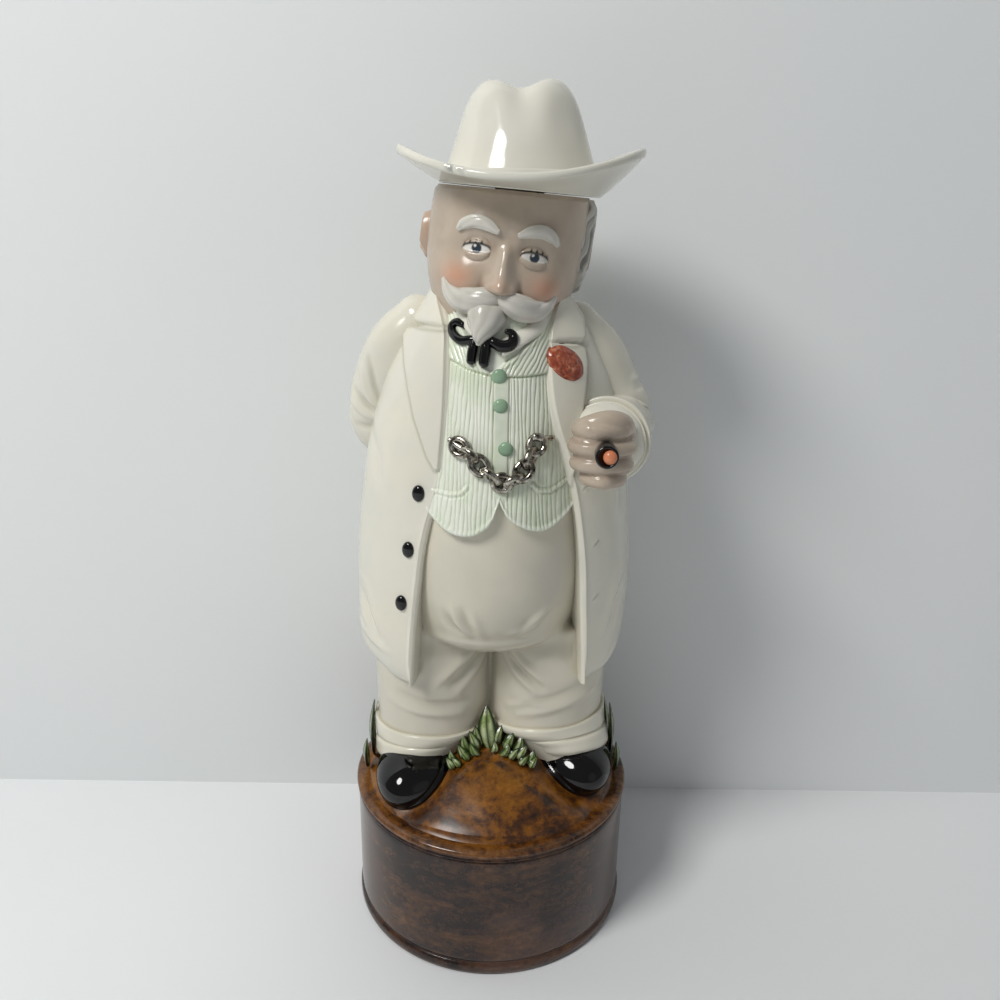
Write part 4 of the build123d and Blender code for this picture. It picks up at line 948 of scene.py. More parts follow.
# Buttons
vest_buttons = [ball(place_on_vest(x, z, 0.2), (2.55, 1.5, 2.6), (8, 0, 0), 36, 24)
                for x, z in ((0.6, 227.8), (1.2, 218.4), (3.1, 204.6))]
finish_piece("domed_buttons", joined(vest_buttons), "decanter", button_glaze,
             ["waistcoat_buttons"])
coat_buttons = []
for x, z, turn in ((-26.4, 186.6, -22), (-30.3, 165.6, -26), (-33.3, 144.4, -28)):
    y = float(coat_front(np.array(x), np.array(z))) - 0.2
    coat_buttons.append(ball((x, y, z), (2.3, 1.5, 3.0), (0, 8, turn), 36, 24))
finish_piece("black_buttons", joined(coat_buttons), "decanter", black_glaze, ["coat_buttons"])

# Watch chain: flattened links that hang in a bow, with a bar at each end
CHAIN = [(-13.8, 205.8), (-10.0, 203.4), (-6.4, 200.6), (-2.4, 196.2), (2.0, 193.6), (6.6, 194.6),
         (10.0, 198.6), (12.0, 203.4), (14.4, 207.6)]
# Each bar: its places with how far they stand out, and its radii.
BARS = [([(-15.4, 206.6, 1.2), (-11.6, 204.6, 1.6), (-7.0, 202.4, 1.2)], [1.0, 1.1, 1.0]),
        ([(12.6, 208.6, 1.4), (15.6, 207.6, 1.6), (19.0, 207.3, 1.0)], [1.3, 1.2, 0.9])]


def link(start, end, flat):
    """One link from start to end, seen flat or on its edge."""
    centre = (Vector(start) + Vector(end)) / 2
    ahead = Vector(end) - Vector(start)
    half = ahead.length / 2 + 0.9
    ahead.normalize()
    side = ahead.cross(Vector((0, 1, 0))).normalized()
    if not flat:
        side = (side * 0.55 + Vector((0, -1, 0)) * 0.85).normalized()
    turns = [i * math.pi / 6 for i in range(13)]
    ring = [tuple(centre + ahead * half * math.cos(a) + side * 2.6 * math.sin(a)) for a in turns]
    return tube(ring, [1.12] * 13, 14, 48, caps=False)


stops = np.linspace(0, 1, 10)
chain_line = [place_on_vest(float(x), float(z), 1.5) for x, z in zip(*path_points(CHAIN, stops))]
chain_parts = [link(a, b, i % 2 == 0) for i, (a, b) in enumerate(zip(chain_line, chain_line[1:]))]
chain_parts += [tube([place_on_vest(*place) for place in places], radii, 16, 20) for places, radii in BARS]
finish_piece("link_chain", joined(chain_parts), "decanter", silver, ["watch_chain"])


# Flower in the lapel: a low mound with shallow curls
FLOWER_TILT = math.radians(-41)


def flower_place(across, up):
    angle = across * TAU
    r = up
    a, b = 8.0 * r * np.cos(angle), 4.9 * r * np.sin(angle)
    x = 22.9 + a * math.cos(FLOWER_TILT) - b * math.sin(FLOWER_TILT)
    z = 231.0 + a * math.sin(FLOWER_TILT) + b * math.cos(FLOWER_TILT)
    dome = 3.3 * np.sqrt(np.maximum(1 - r ** 2.6, 0))
    return x, coat_front(x, z, 1.0) - dome + 1.0, z


def twist(across, up):
    angle = across * TAU
    return np.sin(angle * 5 + up * 9.0) * np.sin(up * 11.0 - angle)


def petals(across, up, p):
    curls = 0.15 * twist(across, up) + 0.08 * np.sin(across * 18 * np.pi - up * 14)
    return curls * smooth(0, 0.25, up) * smooth(1.0, 0.6, up)


def petal_paint(across, up, p):
    # Painted shade between the curls and round the rim, where the flower meets the coat.
    return {"hollow": np.clip(-0.35 * twist(across, up) - 0.1, 0, 1) + 0.5 * smooth(0.90, 1.0, up)}


flower = skin(flower_place, 160, 60, petals, True, petal_paint, front=(0, -1, 0))
finish_piece("bloom", flower, "decanter", flower_glaze, ["buttonhole_flower"])


# Sleeves
FRONT_ARM = [(26.0, 1.0, 240.0), (33.5, 2.0, 229.0), (40.6, 3.6, 214.5), (43.0, 1.0, 205.0),
             (41.6, -8.0, 203.0), (39.2, -18.0, 204.0), (37.4, -27.0, 205.0)]
FRONT_WIDE = [10.0, 12.6, 13.6, 14.6, 14.4, 13.6, 13.4]
REAR_ARM = [(-27.0, 1.0, 241.0), (-35.6, 3.0, 230.0), (-41.4, 8.0, 214.0), (-42.6, 14.0, 201.0),
            (-37.0, 22.0, 194.0), (-28.0, 30.0, 190.0), (-20.0, 34.6, 188.2)]
REAR_WIDE = [10.0, 12.4, 13.0, 13.0, 12.4, 11.4, 11.2]


def front_sleeve_relief(across, up, p):
    x, y, z = xyz(p)
    face = smooth(6, -2, y)
    total = face * (
        fold([(36.8, 241), (38.6, 229), (41.0, 221), (38.8, 212)], 1.2, -1.0, x, z)
        + fold([(42.0, 219.2), (46.0, 221.4), (50.6, 222.0)], 1.2, 1.1, x, z)
        + fold([(42.6, 217.4), (47.0, 218.2), (51.6, 218.6)], 0.9, -1.0, x, z)
        + fold([(43.0, 215.6), (48.0, 215.6), (53.4, 214.0)], 1.2, 0.8, x, z)
        + fold([(53.6, 205), (50.8, 199), (52.8, 192)], 1.6, -0.7, x, z))
    outer = smooth(46, 52, x) * smooth(190, 200, z) * smooth(224, 214, z)
    total = total * smooth(-7, -3, y) + outer * 0.5 * np.sin(z * 0.5 + y * 0.16)
    total = total + (1 - face) * 0.8 * np.sin(z * 0.34 + x * 0.1) * smooth(190, 200, z) * smooth(232, 222, z)
    return total + 0.15 * wave(14, 7.0, x, y, z)


def rear_sleeve_relief(across, up, p):
    x, y, z = xyz(p)
    face = smooth(14, 6, y)
    total = face * (
        fold([(-46.0, 228), (-44.0, 218), (-41.0, 209)], 1.2, -1.0, x, z)
        + fold([(-49.0, 224), (-47.4, 216), (-43.4, 208)], 1.2, 0.9, x, z)
        + fold([(-51.6, 215.4), (-47.4, 210.6), (-43.0, 207.4)], 1.2, -1.0, x, z)
        + fold([(-52.6, 210.0), (-48.0, 206.6), (-43.6, 205.0)], 1.3, 0.9, x, z)
        + fold([(-52.6, 202.0), (-48.0, 201.6), (-44.0, 203.0)], 1.2, -0.7, x, z))
    total = total + (1 - face) * 0.9 * np.sin(z * 0.34 + x * 0.2) * smooth(184, 194, z) * smooth(234, 222, z)
    return total + 0.15 * wave(15, 7.0, x, y, z)


def sleeve_paint(relief):
    def paint(across, up, p):
        # Painted shade in the grooves of the folds.
        return {"hollow": np.clip(-0.9 * relief(across, up, p), 0, 0.8)}
    return paint


front_sleeve = tube(FRONT_ARM, FRONT_WIDE, 150, 150, front_sleeve_relief, sleeve_paint(front_sleeve_relief))
rear_sleeve = tube(REAR_ARM, REAR_WIDE, 140, 140, rear_sleeve_relief, sleeve_paint(rear_sleeve_relief))


# Up a cuff's section: how wide it is, as a share of its radius, and how far it reaches.
RING_WIDE = [(0, 0.97), (0.15, 1.06), (0.28, 1.09), (0.38, 1.04), (0.42, 0.97), (0.50, 0.95), (0.58, 0.99),
             (0.66, 0.97), (0.74, 0.88), (0.84, 0.80), (1, 0.76)]
RING_REACH = [(0, -1.3), (0.15, -0.9), (0.28, -0.2), (0.38, 0.12), (0.42, 0.06), (0.50, 0.05), (0.58, 0.45),
              (0.66, 0.72), (0.74, 0.70), (0.84, 0.35), (1, -0.6)]


def ring_place(centre, ahead, radius, reach):
    """The turned end of a sleeve: an outer lip, an inner step and the open inside behind them."""
    ahead = Vector(ahead).normalized()
    side = ahead.cross(Vector((0, 0, 1))).normalized()
    other = side.cross(ahead)

    def place(across, up):
        angle = across * TAU
        r = radius * curve(RING_WIDE, up)
        push = reach * curve(RING_REACH, up)
        return [centre[a] + ahead[a] * push + r * (side[a] * np.cos(angle) + other[a] * np.sin(angle))
                for a in range(3)]
    return place


def ring_paint(across, up, p):
    # Painted shade in the groove of the inner step and inside the sleeve's opening.
    return {"hollow": 0.8 * bump(up, 0.46, 0.04) + 0.6 * smooth(0.76, 0.95, up)}


def ring_relief(across, up, p):
    return 0.18 * wave(17, 5.0, p[..., 0], p[..., 2])


front_ring = ring_place((37.6, -26.6, 204.8), (-0.22, -1.0, 0.06), 14.0, 3.4)
rear_ring = ring_place((-20.0, 34.6, 188.2), (0.86, 0.48, -0.18), 11.4, 3.2)
front_arm = joined([front_sleeve, skin(front_ring, 120, 60, ring_relief, True, ring_paint)])
rear_arm = joined([rear_sleeve, skin(rear_ring, 110, 60, ring_relief, True, ring_paint)])
finish_piece("front_arm", front_arm, "decanter", coat_glaze, ["front_sleeve"])
finish_piece("rear_arm", rear_arm, "decanter", coat_glaze, ["rear_sleeve"])


# Hands: a palm and curled fingers of clay
# Each finger of the front hand: its height, its radius and the x of both its ends.
FINGERS = ((212.0, 3.0, 26.6, 41.0), (206.4, 3.2, 25.6, 42.4), (200.8, 3.1, 26.4, 42.0),
           (195.8, 2.8, 29.4, 40.4))
FINGER_GAPS = (209.3, 203.6, 198.2)


def flesh_amounts(hollow, blush):
    """What the flesh glaze reads where no features are painted."""
    bare = {name: 0 * blush for name in ("lips", "eye_white", "iris", "lash")}
    return {"hollow": hollow, "blush": blush, **bare}


def front_fist():
    parts = [ball((36.2, -35.0, 205.0), (9.4, 8.6, 11.2), (0, 4, 0))]
    for z, wide, x0, x1 in FINGERS:
        parts.append(tube([(x0 + 2.4, -36.2, z - 0.4), (x0 + 0.6, -40.4, z + 0.2), (x0 + 3.4, -44.2, z + 0.6),
                           ((x0 + x1) / 2 + 1, -44.8, z + 0.4), (x1, -40.6, z - 0.4), (x1 + 0.6, -34, z - 1.0)],
                          [wide * 0.9, wide, wide * 1.06, wide * 1.05, wide, wide * 0.9], 20, 40))
    thumb = [(43.0, -35.0, 210.0), (40.8, -40.6, 214.2), (35.6, -42.8, 215.6), (29.6, -42.6, 214.4),
             (27.0, -41.6, 213.6)]
    parts.append(tube(thumb, [3.6, 3.4, 3.2, 2.9, 2.5], 20, 40))
    parts.append(tube([(38.4, -18, 204.6), (37.0, -30, 205.0)], [9.2, 9.2], 24, 12))
    return parts


def finger_lines(x, y, z, height, width):
    """The lines between the fingers of the front hand."""
    return sum(height * bump(z, gap + 0.03 * (x - 34), width) for gap in FINGER_GAPS) * smooth(-36, -40, y)


def knuckles(x, y, z, nx, ny, nz):
    total = 0.25 * wave(19, 3.2, x, y, z) - finger_lines(x, y, z, 0.30, 0.65)
    nail = np.exp(-(((x - 28.4) / 1.5) ** 2 + ((z - 214.2) / 1.5) ** 2) ** 2) * smooth(-40, -43, y)
    return total + 0.22 * nail


def hand_paint(x, y, z):
    # Painted shade in the lines between the fingers.
    return flesh_amounts(np.clip(finger_lines(x, y, z, 0.5, 0.8), 0, 1), 0.10 * smooth(198, 192, z))


def rear_relief(x, y, z, nx, ny, nz):
    return 0.2 * wave(23, 3.2, x, y, z)


def rear_paint(x, y, z):
    # Painted shade between the fingers of the rear hand.
    gaps = sum(0.7 * bump(z, gap, 0.8) for gap in (190.8, 186.0, 181.5))
    return flesh_amounts(gaps * smooth(40, 42, y), 0 * x)


fist = carve(clay(front_fist(), 0.34, 16), knuckles, hand_paint)
finish_piece("front_fist", fist, "decanter", flesh_glaze, ["front_hand"])
rear_parts = [ball((-12.6, 38.4, 186.6), (8.6, 6.6, 10.2), (0, 0, -10))]
for z, wide in ((193.2, 2.7), (188.4, 2.9), (183.6, 2.8), (179.4, 2.5)):
    rear_parts.append(tube([(-13.0, 42.0, z), (-7.0, 43.6, z), (-2.6, 42.4, z - 0.4), (-1.8, 39.0, z - 0.8)],
                           [wide, wide, wide * 0.95, wide * 0.8], 20, 32))
rear_parts.append(tube([(-15.0, 40.0, 194.6), (-10.0, 42.4, 197.0), (-5.0, 41.6, 196.6)],
                       [3.0, 2.8, 2.3], 20, 24))
rear_parts.append(tube([(-22.0, 33.4, 188.4), (-13.0, 37.6, 187.0)], [7.4, 7.2], 24, 12))
rear_fist = carve(clay(rear_parts, 0.4, 6), rear_relief, rear_paint)
finish_piece("rear_fist", rear_fist, "decanter", flesh_glaze, ["rear_hand"])

# Cigar: a black stub with a rolled rim and the ember in its end
cigar = spun([(0.01, -7.0), (3.4, -7.0), (3.75, -6.4), (3.75, 6.6), (3.5, 7.3), (3.0, 7.5), (2.7, 7.2),
              (2.55, 6.6), (0.01, 6.4)], 48)
cigar_turn = Euler((math.radians(84), 0, math.radians(-4))).to_matrix().to_4x4()
cigar.transform(Matrix.Translation(Vector((35.0, -49.0, 206.4)) * MM) @ cigar_turn)
finish_piece("cigar_stub", cigar, "decanter", black_glaze, ["cigar"])
ember = ball((35.6, -55.6, 207.0), (2.35, 1.9, 2.35), (0, 0, 0), 32, 20)
finish_piece("ember_tip", ember, "decanter", ember_glaze, ["cigar_ember"])


# Head: places in the head's own frame, from its middle, upright
HEAD = Matrix.Translation((1.4, -3.5, 262.0)) @ Euler((0, math.radians(8.5), 0)).to_matrix().to_4x4()
HEAD_TURN = np.array(HEAD.to_3x3())
HEAD_MIDDLE = np.array(HEAD.translation)
SEAT = np.array((5.5, -3.5, 285.0))
SEAT_TILT = math.radians(4.4)
SEAT_UP = np.array((math.sin(SEAT_TILT), 0, math.cos(SEAT_TILT)))
HEAD_WIDE = [(-30.6, 3.0), (-29.4, 8.4), (-26.4, 13.9), (-21.0, 19.2), (-12.0, 23.7), (-2.0, 26.2), (9.0, 27.0),
             (19.0, 26.7), (28.0, 25.6)]
HEAD_DEEP = [(-30.6, 4.0), (-29.4, 10.4), (-26.4, 16.2), (-21.0, 20.6), (-12.0, 24.2), (-2.0, 25.8),
             (9.0, 26.0), (19.0, 25.4), (28.0, 24.2)]
CHIN_Z = -30.6
RIM_WIDE, RIM_DEEP = 26.4, 25.2  # the flat-cut top of the head
BORE = 10.8
# Shares of the grid up: the head's sides, its flat top, then the bore, whose wall is a share of that.
FACE_END, RIM_END, BORE_WALL = 0.80, 0.90, 0.7


def to_world(x, y, z):
    """Places in the head's frame to places in the object's frame."""
    return [HEAD_MIDDLE[a] + HEAD_TURN[a, 0] * x + HEAD_TURN[a, 1] * y + HEAD_TURN[a, 2] * z
            for a in range(3)]


def to_head(p):
    return (p - HEAD_MIDDLE) @ HEAD_TURN


def face_y(x, z, out=0.0):
    wide = curve(HEAD_WIDE, z) + out
    return -(curve(HEAD_DEEP, z) + out) * np.sqrt(np.maximum(1 - (x / wide) ** 2, 0.03))


def on_face(x, z, out=0.0):
    return tuple(float(v) for v in to_world(x, float(face_y(np.array(x), np.array(z))) - out, z))


def seat_height(x, y):
    """Height of the seat's plane above a place, in the head's frame."""
    up = HEAD_TURN.T @ SEAT_UP
    level = HEAD_TURN.T @ (SEAT - HEAD_MIDDLE)
    return level[2] - ((x - level[0]) * up[0] + (y - level[1]) * up[1]) / up[2]


def head_place(across, up):
    # Finer towards the face, which is in the middle of the grid.
    t = across + 0.085 * np.sin(2 * np.pi * across)
    angle = np.pi / 2 + 2 * np.pi * t
    wall = share(up, 0, FACE_END)
    ring = share(up, FACE_END, RIM_END)
    bore = share(up, RIM_END, 1)
    rim_z = seat_height(RIM_WIDE * np.cos(angle), RIM_DEEP * np.sin(angle))
    z = CHIN_Z + (rim_z - CHIN_Z) * wall
    closed = np.minimum(wall / 0.012, 1)
    rounded = 0.7 * smooth(0.97, 1.0, wall) * (1 - smooth(0.0, 0.08, ring))
    x = (curve(HEAD_WIDE, z) * closed * (1 - ring * (1 - BORE / RIM_WIDE)) - rounded) * np.cos(angle)
    y = (curve(HEAD_DEEP, z) * closed * (1 - ring * (1 - BORE / RIM_DEEP)) - rounded) * np.sin(angle)
    z = np.where(ring > 0, seat_height(x, y), z)
    open_part = 1 - share(bore, BORE_WALL, 1)
    return to_world(x * open_part, y * open_part, z - 15.5 * share(bore, 0, BORE_WALL))


EYE_X, EYE_Z = 9.4, 4.0


def eye_parts(x, z):
    """For the nearer eye: place in the opening, and height above its lower and below its upper lid."""
    u = (np.abs(x) - EYE_X) / 4.5
    upper = EYE_Z + 1.75 * np.sqrt(np.maximum(1 - np.abs(u) ** 2.3, 0)) - 0.25 * u
    lower = EYE_Z - 1.15 * np.sqrt(np.maximum(1 - np.abs(u) ** 2.0, 0)) - 0.25 * u
    return u, upper, lower


def face_relief(across, up, p):
    x, y, z = xyz(to_head(p))
    front = smooth(-4, -14, y) * smooth(0.79, 0.74, up)
    side = np.abs(x)
    # Brow, eye sockets and cheeks
    total = 0.9 * bump(z, 11.5, 3.6) * bump(side, 8.5, 7.5)
    total = total - 2.0 * bump(z, 4.6, 4.6) * bump(side, 9.2, 5.6)
    total = total - 0.9 * bump(side, 0, 3.0) * bump(z, 8.0, 3.6)
    total = total + 1.7 * np.exp(-((side - 13.6) / 6.2) ** 2 - ((z + 6.2) / 5.4) ** 2)
    total = total - 0.5 * np.exp(-((side - 20.0) / 4.5) ** 2 - ((z + 12) / 7.0) ** 2)
    # Eyes: the ball under its lids
    u, upper, lower = eye_parts(x, z)
    ball_form = np.maximum(1 - u ** 2 - ((z - EYE_Z) / 3.7) ** 2, 0)
    total = total + 2.0 * np.sqrt(ball_form + 0.02) - 0.28
    opening = smooth(0.1, -0.25, z - upper) * smooth(-0.1, 0.25, z - lower) * (np.abs(u) < 1)
    total = total - 0.55 * opening
    crease = upper + 1.35 - 0.3 * u * u
    total = total - 0.45 * bump(z, crease, 0.45) * smooth(1.15, 0.7, np.abs(u))
    total = total + 0.28 * np.exp(-((z - lower + 0.75) / 0.6) ** 2) * smooth(1.1, 0.6, np.abs(u))
    # Nose
    length = np.clip((7.5 - z) / 14.0, 0, 1)
    width = 1.9 + 1.9 * length ** 1.5
    ridge = (1.2 + 4.0 * length ** 1.2) * smooth(10.5, 4.0, z) * smooth(-9.6, -6.9, z)
    total = total + ridge * np.exp(-(side / width) ** 2)
    total = total + 1.9 * np.exp(-(x / 3.0) ** 2 - ((z + 5.3) / 2.7) ** 2)
    total = total + 2.0 * np.exp(-((side - 3.7) / 1.7) ** 2 - ((z + 6.4) / 1.9) ** 2)
    total = total - 0.6 * np.exp(-((side - 6.2) / 1.1) ** 2 - ((z + 7.2) / 2.8) ** 2)
    # Mouth and chin
    total = total + 1.1 * np.exp(-(x / 8.0) ** 2 - ((z + 14.5) / 4.2) ** 2)
    bow = 0.35 * np.exp(-(x / 2.0) ** 2) - 0.018 * x * x
    total = total - 1.1 * np.exp(-((z + 14.7 - 0.015 * x * x) / 0.55) ** 2) * smooth(7.0, 4.6, side)
    total = total + 0.7 * np.exp(-((z + 13.4 - bow) / 0.9) ** 2) * smooth(6.0, 3.0, side)
    total = total + 1.0 * np.exp(-((z + 16.5 + bow * 0.4) / 1.15) ** 2) * smooth(5.6, 2.6, side)
    total = total - 0.7 * np.exp(-((z + 19.3) / 1.3) ** 2 - (x / 5.0) ** 2)
    total = total + 1.5 * np.exp(-(x / 6.0) ** 2 - ((z + 24.2) / 3.6) ** 2)
    # Temples
    total = total - 0.5 * np.exp(-((side - 21.0) / 4.0) ** 2 - ((z - 8) / 7.0) ** 2)
    return total * front


def face_paint(across, up, p):
    x, y, z = xyz(to_head(p))
    front = smooth(-4, -10, y)
    side = np.abs(x)
    blush = front * 0.85 * np.exp(-((side - 14.6) / 5.4) ** 2 - ((z + 5.6) / 4.6) ** 2)
    blush = blush + front * 0.30 * np.exp(-(x / 3.4) ** 2 - ((z + 5.8) / 2.6) ** 2)
    blush = blush + front * 0.2 * np.exp(-(x / 7) ** 2 - ((z + 25) / 4) ** 2)
    u, upper, lower = eye_parts(x, z)
    inside = smooth(0.18, -0.18, z - upper) * smooth(-0.18, 0.18, z - lower) * front
    inside = inside * smooth(1.02, 0.94, np.abs(u))
    iris_at = np.hypot(side - EYE_X, z - EYE_Z - 0.25)
    iris = inside * smooth(1.75, 1.45, iris_at)
    # A painted glint: a small spot in each iris is left the colour of the eye's white.
    painted_eye_glint = inside * smooth(0.55, 0.3, np.hypot(x - np.sign(x) * EYE_X + 0.6, z - EYE_Z - 0.95))
    line = np.exp(-((z - upper) / 0.42) ** 2) * smooth(1.12, 0.95, np.abs(u))
    above = smooth(1.7, 0.4, z - upper) * smooth(-0.1, 0.2, z - upper)
    lashes = smooth(0.2, 0.7, np.sin(u * 15.0)) * above * smooth(1.05, 0.8, np.abs(u)) * (u > -0.5)
    # Painted shade at the inner corners of the eyes, in the nostrils and along the mouth line.
    hollow = 0.55 * bump(z, 5.6, 2.8) * bump(side, 4.4, 1.6)
    hollow = hollow + 0.7 * np.exp(-((side - 6.4) / 0.9) ** 2 - ((z + 7.2) / 2.6) ** 2)
    hollow = hollow + 0.6 * np.exp(-((z + 14.7 - 0.015 * x * x) / 0.5) ** 2) * smooth(7, 5, side)
    lips = 0.55 * front * np.exp(-((z + 16.0) / 1.6) ** 2) * smooth(5.6, 3.4, side)
    return {"blush": np.clip(blush, 0, 1), "eye_white": np.clip(inside, 0, 1),
            "iris": np.clip(iris - painted_eye_glint * 2, 0, 1), "hollow": np.clip(front * hollow, 0, 0.8),
            "lash": np.clip(front * (line + 0.85 * lashes), 0, 1) * (1 - iris * 0.3),
            "lips": np.clip(lips, 0, 1)}


face = skin(head_place, 330, 250, face_relief, True, face_paint)


def ear_mesh(side):
    def place(across, up):
        angle = across * TAU
        r = up
        y = 4.6 * r * np.sin(angle) * (1 + 0.12 * np.cos(angle))
        z = 8.3 * r * np.cos(angle)
        lobe = 1 - 0.18 * smooth(0, 1, -np.cos(angle)) * r
        rim = 1.9 * np.exp(-((r - 0.82) / 0.16) ** 2) * smooth(-1.0, -0.5, np.cos(angle) + 0.2 * np.sin(angle))
        dent = 1.7 * np.exp(-((r - 0.30) / 0.30) ** 2)
        out = 3.6 * np.sqrt(np.maximum(1 - r ** 3.2, 0)) + rim - dent
        return to_world(side * (25.2 + out), 3.5 + y * lobe, 4.6 + z)

    def tint(across, up, p):
        # Painted shade in the ear's hollow, with a blush towards its rim.
        return flesh_amounts(0.8 * bump(up, 0.42, 0.2), 0.25 * up)
    return skin(place, 72, 34, None, True, tint, front=(side, 0, 0))


head = joined([face, ear_mesh(-1), ear_mesh(1)])
finish_piece("head_and_face", head, "decanter", flesh_glaze, ["head_casting"])


# Hair round the back, from temple to temple, in combed strands
COMB_DEPTH = 0.42


def hair_place(across, up):
    angle = np.radians(-22 + 192 * across)
    edge = np.minimum(across, 1 - across)
    foot = -7.5 - 3.5 * smooth(0.18, 0.5, edge) + 8.0 * smooth(0.10, 0.02, edge)
    rim_z = seat_height(RIM_WIDE * np.cos(angle), RIM_DEEP * np.sin(angle)) - 0.5
    z = foot + (rim_z - foot) * up
    thick = 2.3 * smooth(0.0, 0.05, edge) * smooth(0.0, 0.08, up) - 1.2 * smooth(0.9, 1.0, up) - 0.4
    wide = curve(HEAD_WIDE, z) + thick
    deep = curve(HEAD_DEEP, z) + thick
    return to_world(wide * np.cos(angle), deep * np.sin(angle), z)


def strands(across, up, p):
    run = across * 130 + 2.2 * np.sin(up * 5.0 + across * 9.0) + 1.4 * np.sin(up * 11 + across * 23)
    comb = np.sin(run * 1.75) * 0.6 + np.sin(run * 4.1 + 1.0) * 0.25 + np.sin(run * 0.8) * 0.5
    return COMB_DEPTH * comb * smooth(0.0, 0.1, up)


def strand_paint(across, up, p):
    # Painted shade: darker in the comb grooves, lighter on the strands.
    return {"hollow": np.clip(0.42 - 0.66 * strands(across, up, p) / COMB_DEPTH, 0, 1)}


hair = skin(hair_place, 300, 80, strands, False, strand_paint)
finish_piece("combed_hair", hair, "decanter", grey_hair_glaze, ["hair"])


def lock(points, radii, seed, squash, strand_count, depth):
    """A tuft of hair: a tapered tube with combed grooves along it."""
    def groove(across, up, p):
        twist = across * strand_count + 0.5 * np.sin(up * 4 + seed) + 0.6 * up
        ends = smooth(0, 0.16, up) * smooth(1.0, 0.86, up)
        return depth * (np.abs(np.sin(twist * np.pi)) - 0.6) * ends

    def tint(across, up, p):
        # Painted shade in the grooves along the tuft.
        return {"hollow": np.clip(0.32 - 1.2 * groove(across, up, p), 0, 1)}
    return tube(points, radii, 72, 60, groove, tint, squash)


# Places on the face from its middle outwards, with how far they stand out
MOUSTACHE = ((0.2, -9.8, 2.4), (3.8, -10.6, 3.2), (8.0, -12.0, 2.8), (12.4, -12.4, 2.0), (16.0, -10.6, 1.2),
             (18.4, -7.4, 0.6))
BROW = ((3.6, 10.4, 0.7), (7.0, 11.9, 0.7), (11.0, 12.4, 0.7), (14.4, 10.9, 0.7), (16.0, 9.2, 0.7))
moustache, brows = [], []
beard = [lock([(-3.0, -26.0, 247.6), (-3.8, -29.4, 246.4), (-4.6, -32.2, 243.6), (-5.7, -33.9, 240.8),
               (-6.2, -34.0, 238.2)], [5.0, 6.4, 4.8, 3.0, 0.9], 3.0, 0.9, 7, 0.22)]
for side in (-1, 1):
    moustache.append(lock([on_face(side * x, z, out) for x, z, out in MOUSTACHE],
                          [2.4, 3.7, 4.3, 3.8, 2.6, 1.0], side, 0.8, 7, 0.17))
    beard.append(lock([(-3.0 + side * 3.0, -25.6, 247.0), (-3.8 + side * 3.4, -29.0, 244.6),
                       (-5.2 + side * 1.6, -31.8, 240.8)], [2.6, 3.0, 1.2], 5.0 + side, 0.8, 5, 0.16))
    brows.append(lock([on_face(side * x, z, out) for x, z, out in BROW],
                      [1.0, 2.0, 2.2, 1.8, 0.9], side + 8.0, 0.6, 5, 0.14))
finish_piece("moustache_locks", joined(moustache), "decanter", hair_glaze, ["moustache"])
finish_piece("goatee_locks", joined(beard), "decanter", hair_glaze, ["goatee"])
finish_piece("brow_tufts", joined(brows), "decanter", hair_glaze, ["eyebrows"])


# Hat: crown, brim, underside, stopper and drain in one skin
HAT = np.array((6.7, -3.5, 285.3))
CROWN = [(0.0, 35.5), (8.0, 35.1), (12.6, 33.6), (16.0, 30.2), (18.6, 25.4), (21.2, 18.0), (23.6, 10.4),
         (25.1, 6.2)]
CROWN_RADIUS, CROWN_TOP = CROWN[-1]  # where the crown meets the brim
# Shares of the grid from the crown's top, over the brim and its edge, back under it, to the plug's end
CROWN_END, BRIM_END, EDGE_END, UNDER_END, RING_END, SEAT_END = 0.36, 0.64, 0.69, 0.83, 0.85, 0.90
# Up the plug: shares with how deep and how wide it is, first outside and then in its drain
PLUG_DEPTH = ([0, 0.42, 0.5, 0.58, 0.94, 1], [0, 16.2, 16.9, 16.9, -6.0, -6.0])
PLUG_RADIUS = ([0, 0.42, 0.5, 0.58, 0.94, 1], [8.4, 8.4, 7.6, 4.5, 4.5, 0.0])
# Each chip in the brim's edge: its place and its size.
CHIPS = ((-22.4, -34.6, 1.0), (-18.6, -36.8, 0.7))


